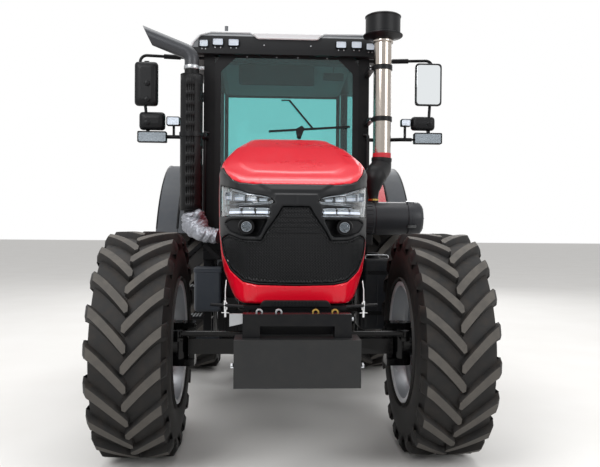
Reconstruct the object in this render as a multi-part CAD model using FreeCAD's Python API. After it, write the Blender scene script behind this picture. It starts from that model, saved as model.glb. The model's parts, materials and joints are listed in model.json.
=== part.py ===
"""Four-wheel-drive farm tractor with a cab, built as separate pieces.

Millimetres, +Z up, the nose points to -Y and the driver's left hand is +X.
The origin is on the ground, under the middle of the machine.
"""
import FreeCAD, Part
import math
import os

V = FreeCAD.Vector

# Overall layout
WHEELBASE = 2800
DRAWN_WHEELBASE = 2800      # places behind the engine's middle are measured at this wheelbase
FRONT_PART = 850            # places further behind the front axle keep their distance to the rear axle
FRONT_REACH = 960           # front axle to the face of the ballast block
REAR_REACH = 1130           # rear axle to the ends of the lower links
FRONT_AXLE_Y = FRONT_REACH - (FRONT_REACH + WHEELBASE + REAR_REACH) / 2
REAR_AXLE_Y = FRONT_AXLE_Y + WHEELBASE

# Front wheels
FRONT_TRACK = 1960
FRONT_TYRE = {"radius": 745, "width": 480, "bead": 390, "lug": 42, "lugs": 20, "lug_width": 50}
FRONT_RIM = {"flange": 408, "wall": 10, "disc_x": -20, "disc_wall": 16, "hub_hole": 92}

# Rear wheels
REAR_TRACK = 1860
REAR_TYRE = {"radius": 975, "width": 520, "bead": 540, "lug": 48, "lugs": 20, "lug_width": 62}
REAR_RIM = {"flange": 562, "wall": 12, "disc_x": -10, "disc_wall": 20, "hub_hole": 112}

AXLE_Z = FRONT_TYRE["radius"]
REAR_AXLE_Z = REAR_TYRE["radius"]

# Running gaps
SEAT_GAP = 0.3              # between a turning piece and what it bears on
KNUCKLE_GAP = 0.3           # above and below the steering knuckle

# Front frame and axle
RAIL = (216, 262)           # inner and outer face of the frame rails
RAIL_Z = (AXLE_Z + 147, AXLE_Z + 300)
BLOCK = {"half_width": 345, "low": 657, "high": 918, "depth": 200}
BEAM_Z = (AXLE_Z - 72, AXLE_Z + 30)
FORK_Z = (AXLE_Z - 155, AXLE_Z - 110, AXLE_Z + 95, AXLE_Z + 135)  # lower and upper lug of the axle's fork
FORK_WEB = 45               # half the fork web's thickness along the tractor
STEER_ARM_Z = (AXLE_Z + 45, AXLE_Z + 70)
PIN_RADIUS = 40
PIN_END = 282
KINGPIN_X = 760
HUB_FACE = 924              # outer face of the steering knuckle's hub
STEER_ARM_Y = -245          # steering arm's ball joint, behind the front axle
TIE_ROD_Z = AXLE_Z + 93
TIE_ROD_RADIUS = 19

# Drive line
GEARBOX_X = 250
GEARBOX_TOP = 1060
ENGINE_TOP = 1560
REAR_HUB_FACE = 860

# Bonnet
BONNET_WALL = 18
BONNET_REAR = 1255          # behind the front axle
BONNET_HINGE = (1232, 2170)

# Cab
CAB_FLOOR_Z = 1300
FLOOR_THICK = 70
CAB_FRONT = 1380            # behind the front axle
ROOF_Z = 3036
GLASS = 8
DOOR_WALL = 40
DOOR_RAIL = 62
DOOR_HINGE = (850, 2443)
HINGE_Z = (2330, 2820)
A_PILLAR = (1388, 1444)
B_PILLAR = (2446, 2530)
C_PILLAR = (2980, 3050)
SIDE_X = (735, 838)         # the cab's outer face at the door's front and rear edges
BACK_X = 740

# Rear mudguards
GUARD_RADIUS = REAR_TYRE["radius"] + 225
GUARD_WALL = 14
GUARD_INNER_X = 600
GUARD_SPLIT_X = 1000
GUARD_OUTER_X = 1205
GUARD_LOW_Z = REAR_AXLE_Z + 485

# Fittings
EXHAUST = {"x": -815, "y": 1150, "shield": 95, "pipe": 62, "low": 1660, "high": 2807}
INTAKE = {"x": 805, "y": 1100, "pipe": 76, "low": 2112, "high": 3126}
FILTER = {"y": 950, "z": 1603, "radius": 137, "from": 560, "to": 1118}

# Rear hitch: lift arm, lift rod and lower link form a parallelogram
HITCH_PIVOT = 180           # behind the rear axle
LINK_PIVOT_Z = 520
ROCKSHAFT_Z = 1150
LIFT_ARM = 450
LINK_X = 360
LINK_EYE_RADIUS = 18.7
LINK_EYE_OUTER = 38
LIFT_PIN = 14
DRAWBAR_END = 640

PARTS = {}


def front(y):
    """Y of a point given behind the front axle; behind the engine's middle it goes with the rear axle."""
    return FRONT_AXLE_Y + y + (WHEELBASE - DRAWN_WHEELBASE if y > FRONT_PART else 0)


def rear(y):
    """Y of a point given behind the rear axle."""
    return REAR_AXLE_Y + y


def box(x0, x1, y0, y1, z0, z1):
    x0, x1 = sorted((x0, x1))
    return Part.makeBox(x1 - x0, y1 - y0, z1 - z0, V(x0, y0, z0))


def cylinder(start, direction, radius, length):
    return Part.makeCylinder(radius, length, V(*start), V(*direction))


def polygon_face(points):
    return Part.Face(Part.makePolygon([V(*p) for p in points] + [V(*points[0])]))


def prism_x(outline, x0, x1):
    """Outline of (y, z) points, extruded along X."""
    return polygon_face([(x0, y, z) for y, z in outline]).extrude(V(x1 - x0, 0, 0))


def prism_y(outline, y0, y1):
    """Outline of (x, z) points, extruded along Y."""
    return polygon_face([(x, y0, z) for x, z in outline]).extrude(V(0, y1 - y0, 0))


def prism_z(outline, z0, z1):
    """Outline of (x, y) points, extruded along Z."""
    return polygon_face([(x, y, z0) for x, y in outline]).extrude(V(0, 0, z1 - z0))


def lathe(profile, origin, axis):
    """Solid of revolution from (distance along axis, radius) points; axis is "x", "y" or "z"."""
    along = {"x": V(1, 0, 0), "y": V(0, 1, 0), "z": V(0, 0, 1)}[axis]
    out = V(0, 0, 1) if axis != "z" else V(1, 0, 0)
    points = [V(*origin) + along * a + out * r for a, r in profile]
    face = Part.Face(Part.makePolygon(points + [points[0]]))
    return face.revolve(V(*origin), along, 360)


def rounded(shape, radius, direction):
    """Fillet the edges that run along direction."""
    along = V(*direction)
    edges = [e for e in shape.Edges if abs(abs((e.Vertexes[1].Point - e.Vertexes[0].Point).normalize() * along) - 1) < 1e-6]
    return shape.makeFillet(radius, edges)


def mirrored(shape):
    """The same piece on the other side of the machine."""
    return shape.mirror(V(0, 0, 0), V(1, 0, 0))


def both_sides(shape):
    return [shape, mirrored(shape)]


def symmetric(half):
    """Closed outline from the points of its +X half, bottom to top."""
    return half + [(-x, other) for x, other in reversed(half) if x]


def fused(shapes):
    return shapes[0].multiFuse(shapes[1:]).removeSplitter()


def pipe(points, radius, bend=None):
    """A round bar along straight runs, with tangent arcs of radius bend at the corners."""
    points = [V(*p) for p in points]
    edges = []
    start = points[0]
    for before, corner, after in zip(points, points[1:], points[2:]):
        a = (before - corner).normalize()
        b = (after - corner).normalize()
        half = a.getAngle(b) / 2
        cut = bend / math.tan(half)
        p, q = corner + a * cut, corner + b * cut
        middle = corner + (a + b).normalize() * (bend / math.sin(half) - bend)
        edges.append(Part.LineSegment(start, p).toShape())
        edges.append(Part.Arc(p, middle, q).toShape())
        start = q
    edges.append(Part.LineSegment(start, points[-1]).toShape())
    path = Part.Wire(edges)
    section = Part.Wire(Part.makeCircle(radius, points[0], points[1] - points[0]))
    return path.makePipeShell([section], True, False)


def closed_solid(faces):
    solid = Part.Solid(Part.Shell(faces))
    return solid if solid.Volume > 0 else solid.reversed()


def ring(profile, count, centre, phase=0.0):
    """A closed ring of flat facets about the X axis, from a profile of (x, radius) points."""
    def corner(k, p):
        a = math.radians(phase) + 2 * math.pi * k / count
        return (centre[0] + p[0], centre[1] + p[1] * math.cos(a), centre[2] + p[1] * math.sin(a))

    faces = []
    for k in range(count):
        for p, q in zip(profile, profile[1:] + profile[:1]):
            faces.append(polygon_face([corner(k, p), corner(k + 1, p), corner(k + 1, q), corner(k, q)]))
    return closed_solid(faces)


def turned_x(shape, centre, degrees):
    shape = shape.copy()
    shape.rotate(V(*centre), V(1, 0, 0), degrees)
    return shape


# Wheels

def tyre_profile(size):
    """Casing from bead to bead as (x, radius)."""
    half = size["width"] / 2
    base = size["radius"] - size["lug"]
    half_side = [
        (0.855 * half, size["bead"]),
        (half, 0.56 * size["bead"] + 0.44 * base),
        (0.93 * half, base - 12),
    ]
    return [(-x, r) for x, r in half_side] + [(x, r) for x, r in reversed(half_side)]


def tyre(size, centre):
    """Casing with raised lugs in a V, each side's lugs half a pitch from the other's."""
    count = 2 * size["lugs"]
    step = 360.0 / count
    casing = ring(tyre_profile(size), size["lugs"], centre, step / 2)
    half = size["width"] / 2
    slope = 0.36 * half
    across = size["lug_width"] / 2 * 1.25
    tip = math.sqrt(size["radius"] ** 2 - (slope + across) ** 2)
    foot = size["radius"] - size["lug"] - 62
    lugs = []
    for k in range(count):
        side = 1 if k % 2 else -1
        outline = [
            (side * 0.01 * half, slope - across * 0.6),
            (side * 0.06 * half, slope + across),
            (side * 0.985 * half, -slope + across),
            (side * 0.985 * half, -slope - across),
        ]
        lug = polygon_face([(centre[0] + x, centre[1] - t, centre[2] + foot) for x, t in outline])
        lug = lug.extrude(V(0, 0, tip - foot))
        lugs.append(turned_x(lug, centre, -90 + step * k))
    return casing.multiFuse(lugs).removeSplitter()


def rim(size, tyre_size, centre, side):
    """Barrel with two flanges and a dished disc, faceted like its tyre's casing."""
    count = tyre_size["lugs"]
    phase = 90.0 / count
    seat = tyre_size["bead"]
    edge = 0.855 * tyre_size["width"] / 2
    lip = edge + 6
    wall = size["wall"]
    inner = seat - wall
    disc = side * size["disc_x"]
    thick = side * size["disc_wall"]
    hole = size["hub_hole"]
    barrel = [
        (-lip - wall, size["flange"]), (-lip, size["flange"]), (-lip, seat), (-edge * 0.62, seat - 3),
        (-edge * 0.5, seat - 40), (edge * 0.5, seat - 40), (edge * 0.62, seat - 3), (lip, seat),
        (lip, size["flange"]), (lip + wall, size["flange"]), (lip + wall, inner), (edge * 0.66, inner - 3),
        (edge * 0.52, inner - 42), (-edge * 0.52, inner - 42), (-edge * 0.66, inner - 3), (-lip - wall, inner),
    ]
    shell = ring(barrel, count, centre, phase)
    rise = side * 46
    plate = ring([
        (disc, hole), (disc, inner * 0.52), (disc + rise, inner - 42), (disc + rise + thick, inner - 42),
        (disc + thick, inner * 0.52 + 6), (disc + thick, hole),
    ], count, centre, phase)
    return fused([shell, plate])


def hub(side, x, y, z, seat, radii):
    """Flange against the disc, boss that bears on the axle, and the cap through the disc's hole."""
    face, disc, end = x
    flange, boss, cap = radii
    return fused([
        cylinder((side * (face + 6), y, z), (side, 0, 0), flange, disc - face - 6),
        cylinder((side * (face + seat), y, z), (side, 0, 0), boss, 6),
        cylinder((side * disc, y, z), (side, 0, 0), cap, end - disc),
    ])


def make_wheels():
    for name, side in (("left", 1), ("right", -1)):
        for end, track, size, rim_size, y, face, radii in (
            ("front", FRONT_TRACK, FRONT_TYRE, FRONT_RIM, FRONT_AXLE_Y, HUB_FACE, (178, 60, 90)),
            ("rear", REAR_TRACK, REAR_TYRE, REAR_RIM, REAR_AXLE_Y, REAR_HUB_FACE, (190, 80, 108)),
        ):
            centre = (side * track / 2, y, size["radius"])
            disc = track / 2 + rim_size["disc_x"]
            PARTS[f"{end}_tyre_{name}"] = tyre(size, centre)
            wheel = rim(rim_size, size, centre, side)
            middle = hub(side, (face, disc, disc + 105), y, centre[2], SEAT_GAP, radii)
            PARTS[f"{end}_rim_{name}"] = fused([wheel, middle])


# Front frame and axle

RING_BOLT_X = (102, 210)


def make_front_frame():
    rails = both_sides(box(*RAIL, front(-640), front(430), *RAIL_Z))
    stations = ((-640, -580), (-390, -310), (200, 280))
    cross = [box(-RAIL[0], RAIL[0], front(a), front(b), *RAIL_Z) for a, b in stations]
    pin_hole = cylinder((0, front(-420), AXLE_Z), (0, 1, 0), PIN_RADIUS, 720)
    hangers = []
    for a, b in stations[1:]:
        outline = [(-120, RAIL_Z[0]), (-60, AXLE_Z - 55), (60, AXLE_Z - 55), (120, RAIL_Z[0])]
        hangers.append(prism_y(outline, front(a), front(b)).cut(pin_hole))
    nose = box(-200, 200, front(-760), front(-640), 700, 1000)
    PARTS["front_bolster"] = fused(rails + cross + hangers + [nose])
    half, low, high = BLOCK["half_width"], BLOCK["low"], BLOCK["high"]
    block = box(-half, half, front(-FRONT_REACH), front(-FRONT_REACH + BLOCK["depth"]), low, high)
    hooks = [cylinder((s * half, front(-FRONT_REACH + 22), 782), (s, 0, 0), 9, 16) for s in (1, -1)]
    feet = both_sides(box(205, 300, front(-900), front(-820), high, 984))
    bar = box(-300, 300, front(-900), front(-820), 984, 1050)
    rings = []
    for x in RING_BOLT_X:
        eye = cylinder((x, front(-865), 1056), (0, 1, 0), 20, 10).cut(cylinder((x, front(-866), 1056), (0, 1, 0), 11, 12))
        rings += both_sides(eye.cut(bar))
    PARTS["front_block"] = fused([block, bar] + feet + hooks + rings)


def make_drive_line():
    block = box(-RAIL[0], RAIL[0], front(300), front(1150), 850, ENGINE_TOP)
    ahead = box(-RAIL[0], RAIL[0], front(-60), front(300), RAIL_Z[1], ENGINE_TOP)
    sump = prism_y([(-RAIL[0], 850), (-165, 805), (165, 805), (RAIL[0], 850)], front(300), front(1150))
    saddle = fused([
        box(RAIL[0], 700, front(900), front(1000), 1380, 1400),
        box(600, 700, front(900), front(1000), 1400, 1480),
    ]).cut(cylinder((0, front(FILTER["y"]), FILTER["z"]), (1, 0, 0), FILTER["radius"], 2000))
    PARTS["engine_block"] = fused([block, ahead, sump, saddle])
    PARTS["radiator"] = box(-290, 290, front(-480), front(-400), RAIL_Z[1], 1690)
    bell = prism_z([(-GEARBOX_X, front(1150)), (GEARBOX_X, front(1150)), (GEARBOX_X, rear(-330)), (-GEARBOX_X, rear(-330))], 560, GEARBOX_TOP)
    rear_case = prism_x([(rear(-330), 420), (rear(60), 420), (rear(120), 480), (rear(120), 1230), (rear(-240), 1230), (rear(-330), GEARBOX_TOP)], -GEARBOX_X, GEARBOX_X)
    pieces = [bell, rear_case]
    for side in (1, -1):
        tube = lathe([(0, 0), (0, 156), (70, 156), (110, 140), (REAR_HUB_FACE - GEARBOX_X - 60, 118),
                      (REAR_HUB_FACE - GEARBOX_X - 40, 150), (REAR_HUB_FACE - GEARBOX_X, 150), (REAR_HUB_FACE - GEARBOX_X, 0)],
                     (GEARBOX_X, REAR_AXLE_Y, REAR_AXLE_Z), "x")
        pieces.append(tube if side > 0 else mirrored(tube))
    pieces.append(box(GEARBOX_X, 625, front(1160), front(1240), 800, 850))
    pieces.append(box(-555, -GEARBOX_X, front(1260), front(1340), 850, 900))
    pieces[-2] = pieces[-2].cut(tank_body())
    pieces[-1] = pieces[-1].cut(tool_box_body())
    pieces += [cylinder((0, front(PIN_END), AXLE_Z), (0, 1, 0), 33, 1150 - PIN_END),
               cylinder((0, front(PIN_END + 30), AXLE_Z), (0, 1, 0), 50, 50),
               cylinder((0, front(1080), AXLE_Z), (0, 1, 0), 50, 70)]
    PARTS["transmission"] = fused(pieces)


def make_front_axle():
    carrier = lathe([(-175, 0), (-175, 80), (-120, 135), (-60, 158), (60, 158), (120, 135), (175, 80), (175, 0)],
                    (0, FRONT_AXLE_Y, AXLE_Z), "x")
    low, high = BEAM_Z
    beam = prism_y([(-690, low), (-420, low), (-180, low - 14), (180, low - 14), (420, low), (690, low),
                    (690, high), (-690, high)], front(-75), front(75))
    pin = cylinder((0, front(-402), AXLE_Z), (0, 1, 0), PIN_RADIUS, PIN_END + 402)
    shelf = box(-55, 55, front(STEER_ARM_Y - 10), front(-70), BEAM_Z[1] - 5, BEAM_Z[1] + 25)
    barrel = cylinder((-250, front(STEER_ARM_Y), TIE_ROD_Z), (1, 0, 0), 42, 500)
    bore = cylinder((-251, front(STEER_ARM_Y), TIE_ROD_Z), (1, 0, 0), TIE_ROD_RADIUS + SEAT_GAP, 502)
    forks = []
    for side in (1, -1):
        x = side * KINGPIN_X
        forks.append(box(side * 650, side * 690, front(-FORK_WEB), front(FORK_WEB), FORK_Z[0], FORK_Z[3]))
        for z0, z1 in (FORK_Z[:2], FORK_Z[2:]):
            forks.append(cylinder((x, FRONT_AXLE_Y, z0), (0, 0, 1), 65, z1 - z0))
            forks.append(box(side * 650, x, front(-65), front(65), z0, z1))
    PARTS["front_axle"] = fused([carrier, beam, pin, shelf, barrel] + forks).cut(bore)
    rod = cylinder((-735, front(STEER_ARM_Y), TIE_ROD_Z), (1, 0, 0), TIE_ROD_RADIUS, 1470)
    eyes = [cylinder((s * 735, front(STEER_ARM_Y), TIE_ROD_Z - 20), (0, 0, 1), 30, 40) for s in (1, -1)]
    PARTS["steering_rod"] = fused([rod] + eyes)
    for name, side in (("left", 1), ("right", -1)):
        x = side * KINGPIN_X
        pivot = cylinder((x, FRONT_AXLE_Y, FORK_Z[1] + KNUCKLE_GAP), (0, 0, 1), 62, FORK_Z[2] - FORK_Z[1] - 2 * KNUCKLE_GAP)
        housing = lathe([(0, 0), (0, 92), (78, 92), (85, 182), (HUB_FACE - KINGPIN_X, 182), (HUB_FACE - KINGPIN_X, 0)],
                        (KINGPIN_X, FRONT_AXLE_Y, AXLE_Z), "x")
        arm = prism_z([(x - side * 30, front(0)), (x + side * 30, front(0)), (side * 762, front(-258)),
                       (side * 735, front(-275)), (side * 708, front(-258))], *STEER_ARM_Z)
        PARTS[f"knuckle_{name}"] = fused([pivot, housing if side > 0 else mirrored(housing), arm])


# Bonnet: where the front, side and plan outlines meet

FRONT_VIEW = [
    (226, 1000), (370, 1100), (440, 1250), (500, 1470), (530, 1700), (520, 1800), (480, 1889),
    (464, 1957), (440, 2020), (400, 2100), (360, 2160), (320, 2210), (240, 2300),
]
PLAN_VIEW = [(0, -665), (150, -655), (235, -632), (300, -600), (360, -535), (405, -460), (440, -380), (468, -300),
             (487, -170), (500, 0), (545, 1400)]
SIDE_VIEW = [
    (-700, 900), (-640, 1190), (-668, 1360), (-675, 1480), (-670, 1580), (-648, 1660), (-610, 1735), (-540, 1800),
    (-400, 1862), (-200, 1938), (300, 2100), (800, 2205), (1400, 2275), (1400, 900),
]
BONNET_EDGE = [(-800, 1075), (-420, 1075), (-200, 1300), (BONNET_REAR, 1500), (BONNET_REAR, 2500), (-800, 2500)]
NOSE = (-760, -240)         # how far back the black mask goes

# Front outlines of what the nose is split into, +X half, (x, z)
MASK = [
    (0, 1182), (224, 1187), (313, 1203), (393, 1263), (443, 1349), (467, 1465), (480, 1585), (600, 1600),
    (600, 1930), (460, 1900), (424, 1856), (381, 1809), (333, 1790), (258, 1782), (155, 1778), (0, 1779),
]
GRILLE = [(0, 1100), (600, 1100), (600, 1452), (203, 1452), (178, 1500), (108, 1598), (80, 1647), (0, 1647)]
HEADLAMP = [
    (150, 1588), (600, 1588), (600, 1792), (441, 1776), (397, 1759), (287, 1727), (184, 1713), (147, 1695),
    (125, 1666), (198, 1661), (340, 1650), (340, 1642), (158, 1638),
]
LAMP_POCKET = [(158, 1578), (396, 1578), (436, 1552), (403, 1494), (323, 1466), (213, 1464)]
FOG_LAMP = {"x": 292, "z": 1528, "radius": 40, "front": -598, "back": -520}
SIDE_VENT = [(-160, 1520), (-110, 1790), (520, 1880), (700, 1880), (620, 1560)]


def bonnet_body(inset):
    outlines = (
        ([(x, front(-900), z) for x, z in symmetric(FRONT_VIEW)], V(0, 2600, 0)),
        ([(x, front(y), 800) for x, y in symmetric(PLAN_VIEW)], V(0, 0, 1700)),
        ([(-900, front(y), z) for y, z in SIDE_VIEW], V(1800, 0, 0)),
    )
    solids = []
    for points, sweep in outlines:
        face = polygon_face(points)
        if inset:
            face = face.makeOffset2D(-inset)
        solids.append(face.extrude(sweep))
    return solids[0].common(solids[1]).common(solids[2])


def nose_prism(half, whole=True):
    if whole:
        return prism_y(symmetric(half), front(NOSE[0]), front(NOSE[1]))
    right = prism_y(half, front(NOSE[0]), front(NOSE[1]))
    return Part.makeCompound(both_sides(right))


def make_bonnet():
    inner = bonnet_body(BONNET_WALL)
    shell = bonnet_body(0).cut(inner)
    shell = shell.common(prism_x([(front(y), z) for y, z in BONNET_EDGE], -700, 700))
    mask = shell.common(nose_prism(MASK))
    shell = shell.cut(nose_prism(MASK))
    lamps = mask.common(nose_prism(HEADLAMP, False))
    mask = mask.cut(nose_prism(HEADLAMP, False))
    PARTS["grille"] = mask.common(nose_prism(GRILLE))
    mask = mask.cut(nose_prism(GRILLE)).cut(nose_prism(LAMP_POCKET, False))
    layer = inner.cut(bonnet_body(BONNET_WALL + 12))
    wider = [(x, z) for x, z in ((140, 1586), (400, 1586), (450, 1555), (412, 1486), (326, 1456), (200, 1454))]
    plates = layer.common(nose_prism(wider, False))
    PARTS["nose_mask"] = fused([mask] + plates.Solids)
    fogs = []
    for side in (1, -1):
        length = FOG_LAMP["back"] - FOG_LAMP["front"]
        lamp = cylinder((side * FOG_LAMP["x"], front(FOG_LAMP["front"]), FOG_LAMP["z"]), (0, 1, 0), FOG_LAMP["radius"], length)
        fogs.append(lamp.cut(PARTS["nose_mask"]).cut(bonnet_body(BONNET_WALL + 6)))
    PARTS["headlamps"] = Part.makeCompound(lamps.Solids + [s for f in fogs for s in f.Solids[:1]])
    vent = prism_x([(front(y), z) for y, z in SIDE_VENT], 380, 700)
    vent = Part.makeCompound(both_sides(vent))
    PARTS["side_grilles"] = shell.common(vent)
    shell = shell.cut(vent)
    hinge_y, hinge_z = BONNET_HINGE
    ears = []
    for side in (1, -1):
        ear = box(side * (230 + SEAT_GAP), side * 252, front(hinge_y - 28), front(hinge_y + 20), hinge_z - 22, 2245)
        hole = cylinder((side * 225, front(hinge_y), hinge_z), (side, 0, 0), 10 + SEAT_GAP, 40)
        ears.append(ear.common(bonnet_body(0)).cut(hole))
    PARTS["bonnet"] = fused([shell] + ears)
    lip = [box(-300, 300, front(-650), front(-560), RAIL_Z[1], 1066)]
    lip += [pipe([(s * 300, front(-600), 1056), (s * 505, front(-500), 1056)], 10) for s in (1, -1)]
    PARTS["front_bolster"] = fused([PARTS["front_bolster"]] + lip)


# Cab

FLOOR_OUTLINE = [(735, 1380), (735, 1690), (600, 1690), (600, 3050)]
DOOR_OUTLINE = [
    (1450, 1320), (1600, 1320), (1612, 1500), (1655, 1600), (1715, 1700), (1787, 1800), (1871, 1900),
    (1968, 2000), (2050, 2100), (2090, 2195), (2440, 2195), (2440, 3028), (1450, 3028),
]
FILLER = [
    (1606, 1300), (1624, 1500), (1667, 1600), (1727, 1700), (1799, 1800), (1883, 1900), (1976, 1993),
    (2058, 2094), (2096, 2189), (2446, 2189), (2446, 1300),
]
ROOF_FRONT_VIEW = [(853, ROOF_Z), (853, 3085), (823, 3142), (769, 3208), (674, 3246), (330, 3246), (285, 3226)]
ROOF_SIDE_VIEW = [(1310, ROOF_Z), (1310, 3080), (1345, 3200), (1400, 3256), (3000, 3256), (3130, 3130), (3130, ROOF_Z)]
ROOF_LAMPS = [(696, 767, 3094), (565, 653, 3108), (429, 516, 3106)]


def side_slab(outline, y0, y1, x0, x1, inner, outer):
    """Outline of (y, z) points cut from a slab that follows the cab's slanted side."""
    plan = [(x0 - inner, front(y0)), (x1 - inner, front(y1)), (x1 - outer, front(y1)), (x0 - outer, front(y0))]
    slab = prism_z(plan, 1000, 3200)
    return slab.common(prism_x([(front(y), z) for y, z in outline], 400, 1100))


def hinge_half(z, rise, reach):
    """One half of a door hinge: reach below zero is the door's leaf, above zero the pillar's."""
    low = z if reach <= 0 else z + rise
    x, y = DOOR_HINGE
    barrel = cylinder((x, front(y), low), (0, 0, 1), 9, 50)
    y0, y1 = sorted((y, y + reach))
    leaf = box(x - 14, x, front(y0), front(y1), low, low + 50)
    return barrel.fuse(leaf)


def wheel_space(half_width=900):
    return cylinder((-half_width, REAR_AXLE_Y, REAR_AXLE_Z), (1, 0, 0), GUARD_RADIUS, 2 * half_width)


COWL_VIEW = [(480, 1230), (480, 1860), (440, 2000), (380, 2105), (340, 2150)]


def make_cab_body():
    floor = prism_z([(x, front(y)) for x, y in symmetric(FLOOR_OUTLINE)], CAB_FLOOR_Z - FLOOR_THICK, CAB_FLOOR_Z)
    for recess in both_sides(box(250, 316, front(2930), front(3060), CAB_FLOOR_Z - FLOOR_THICK - 10, CAB_FLOOR_Z - 28)):
        floor = floor.cut(recess)
    mounts = []
    for x in (-190, 190):
        for y in (1500, 2300):
            mounts.append(cylinder((x, front(y), GEARBOX_TOP), (0, 0, 1), 45, CAB_FLOOR_Z - FLOOR_THICK - GEARBOX_TOP))
    PARTS["cab_floor"] = fused([floor] + mounts)
    hinge_y, hinge_z = BONNET_HINGE
    cowl = [prism_y(symmetric(COWL_VIEW), front(1290), front(CAB_FRONT)),
            box(-330, 330, front(1310), front(CAB_FRONT), 2150, 2190)]
    cowl += both_sides(box(200, 230, front(hinge_y - 20), front(1310), 2150, 2190))
    cowl += [cylinder((s * 230, front(hinge_y), hinge_z), (s, 0, 0), 10, 24) for s in (1, -1)]
    cowl.append(box(-612, 612, front(CAB_FRONT), front(CAB_FRONT + 30), CAB_FLOOR_Z, 1500))
    back = box(-600, 600, front(C_PILLAR[1] - 40), front(C_PILLAR[1]), CAB_FLOOR_Z, 1650)
    PARTS["cab_walls"] = Part.makeCompound([fused(cowl), back])
    posts = []
    for x0, x1, (y0, y1), low in (
        (612, SIDE_X[0], A_PILLAR, CAB_FLOOR_Z),
        (770, SIDE_X[1], B_PILLAR, 2100),
        (660, BACK_X, C_PILLAR, 2100),
    ):
        posts += both_sides(box(x0, x1, front(y0), front(y1), low, ROOF_Z).cut(wheel_space()))
    hinges = []
    for z in HINGE_Z:
        hinges += both_sides(hinge_half(z, 50 + SEAT_GAP, 18))
    PARTS["cab_pillars"] = fused(posts + hinges + make_stack_brackets())
    windscreen = box(-640, 640, front(CAB_FRONT), front(CAB_FRONT + GLASS), 1500, ROOF_Z)
    rear_window = box(-660, 660, front(3030), front(3030 + GLASS), 1650, ROOF_Z).cut(
        fused(both_sides(box(600, 700, front(3000), front(3060), 1600, 2165))))
    quarter = prism_z([(828, front(2530)), (820, front(2530)), (722, front(2980)), (730, front(2980))], 2000, ROOF_Z)
    PARTS["cab_glass"] = Part.makeCompound([windscreen, rear_window] + both_sides(quarter.cut(wheel_space())))


def make_roof():
    roof = prism_y(symmetric(ROOF_FRONT_VIEW), front(1300), front(3150))
    roof = roof.common(prism_x([(front(y), z) for y, z in ROOF_SIDE_VIEW], -900, 900))
    lamps = []
    for x0, x1, z in ROOF_LAMPS:
        lamps += both_sides(box(x0, x1, front(1302), front(1345), z, z + 55).cut(roof))
    lamps += both_sides(box(600, 700, front(3080), front(3140), 3060, 3115).cut(roof))
    stub = cylinder((-553, front(1600), 3190), (0, 0, 1), 16, 170)
    PARTS["cab_roof"] = fused([roof, stub])
    return lamps


def make_doors():
    for name in ("left", "right"):
        flip = (lambda s: s) if name == "left" else mirrored
        frame = side_slab(DOOR_OUTLINE, 1450, 2440, *SIDE_X, DOOR_WALL, 0)
        face = polygon_face([(0, y, z) for y, z in DOOR_OUTLINE]).makeOffset2D(-DOOR_RAIL)
        hole = [(v.Point.y, v.Point.z) for v in face.OuterWire.OrderedVertexes]
        opening = prism_x([(front(y), z) for y, z in hole], 400, 1100)
        leaves = [hinge_half(z, 0, -18) for z in HINGE_Z]
        handle = side_slab([(1480, 1900), (1500, 1900), (1500, 2080), (1480, 2080)], 1450, 2440, *SIDE_X, 0, -22)
        PARTS[f"door_{name}"] = flip(fused([frame.cut(opening), handle] + leaves))
        pane = side_slab(DOOR_OUTLINE, 1450, 2440, *SIDE_X, 24, 24 - GLASS).common(opening)
        PARTS[f"door_glass_{name}"] = flip(pane)
    panel = side_slab(FILLER, 1450, 2446, SIDE_X[0], SIDE_X[1] + 0.6, 36, 4).cut(wheel_space())
    PARTS["side_panels"] = Part.makeCompound(both_sides(panel))


GUARD_ARC = [(1400, GUARD_LOW_Z), (2800, GUARD_LOW_Z), (3760, REAR_AXLE_Z + 525), (4200, REAR_AXLE_Z + 885),
             (4200, REAR_AXLE_Z + 1425), (1400, REAR_AXLE_Z + 1425)]


def make_mudguards():
    arc = prism_x([(front(y), z) for y, z in GUARD_ARC], 500, 1300)
    axle = (REAR_AXLE_Y, REAR_AXLE_Z)
    outer = cylinder((GUARD_INNER_X, *axle), (1, 0, 0), GUARD_RADIUS, GUARD_SPLIT_X - GUARD_INNER_X)
    hollow = cylinder((GUARD_INNER_X + GUARD_WALL, *axle), (1, 0, 0), GUARD_RADIUS - GUARD_WALL, 600)
    guard = outer.cut(hollow).common(arc)
    skirt = box(GUARD_INNER_X, GUARD_INNER_X + GUARD_WALL, front(1703), front(3060), CAB_FLOOR_Z - FLOOR_THICK, 1470)
    PARTS["mudguards"] = Part.makeCompound(both_sides(fused([guard, skirt])))
    outer = cylinder((GUARD_SPLIT_X, *axle), (1, 0, 0), GUARD_RADIUS, GUARD_OUTER_X - GUARD_SPLIT_X)
    hollow = cylinder((GUARD_SPLIT_X - 10, *axle), (1, 0, 0), GUARD_RADIUS - GUARD_WALL, GUARD_OUTER_X - GUARD_SPLIT_X - 2)
    through = cylinder((GUARD_SPLIT_X - 10, *axle), (1, 0, 0), GUARD_RADIUS - 60, 300)
    PARTS["guard_flares"] = Part.makeCompound(both_sides(outer.cut(hollow).cut(through).common(arc)))


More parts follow.
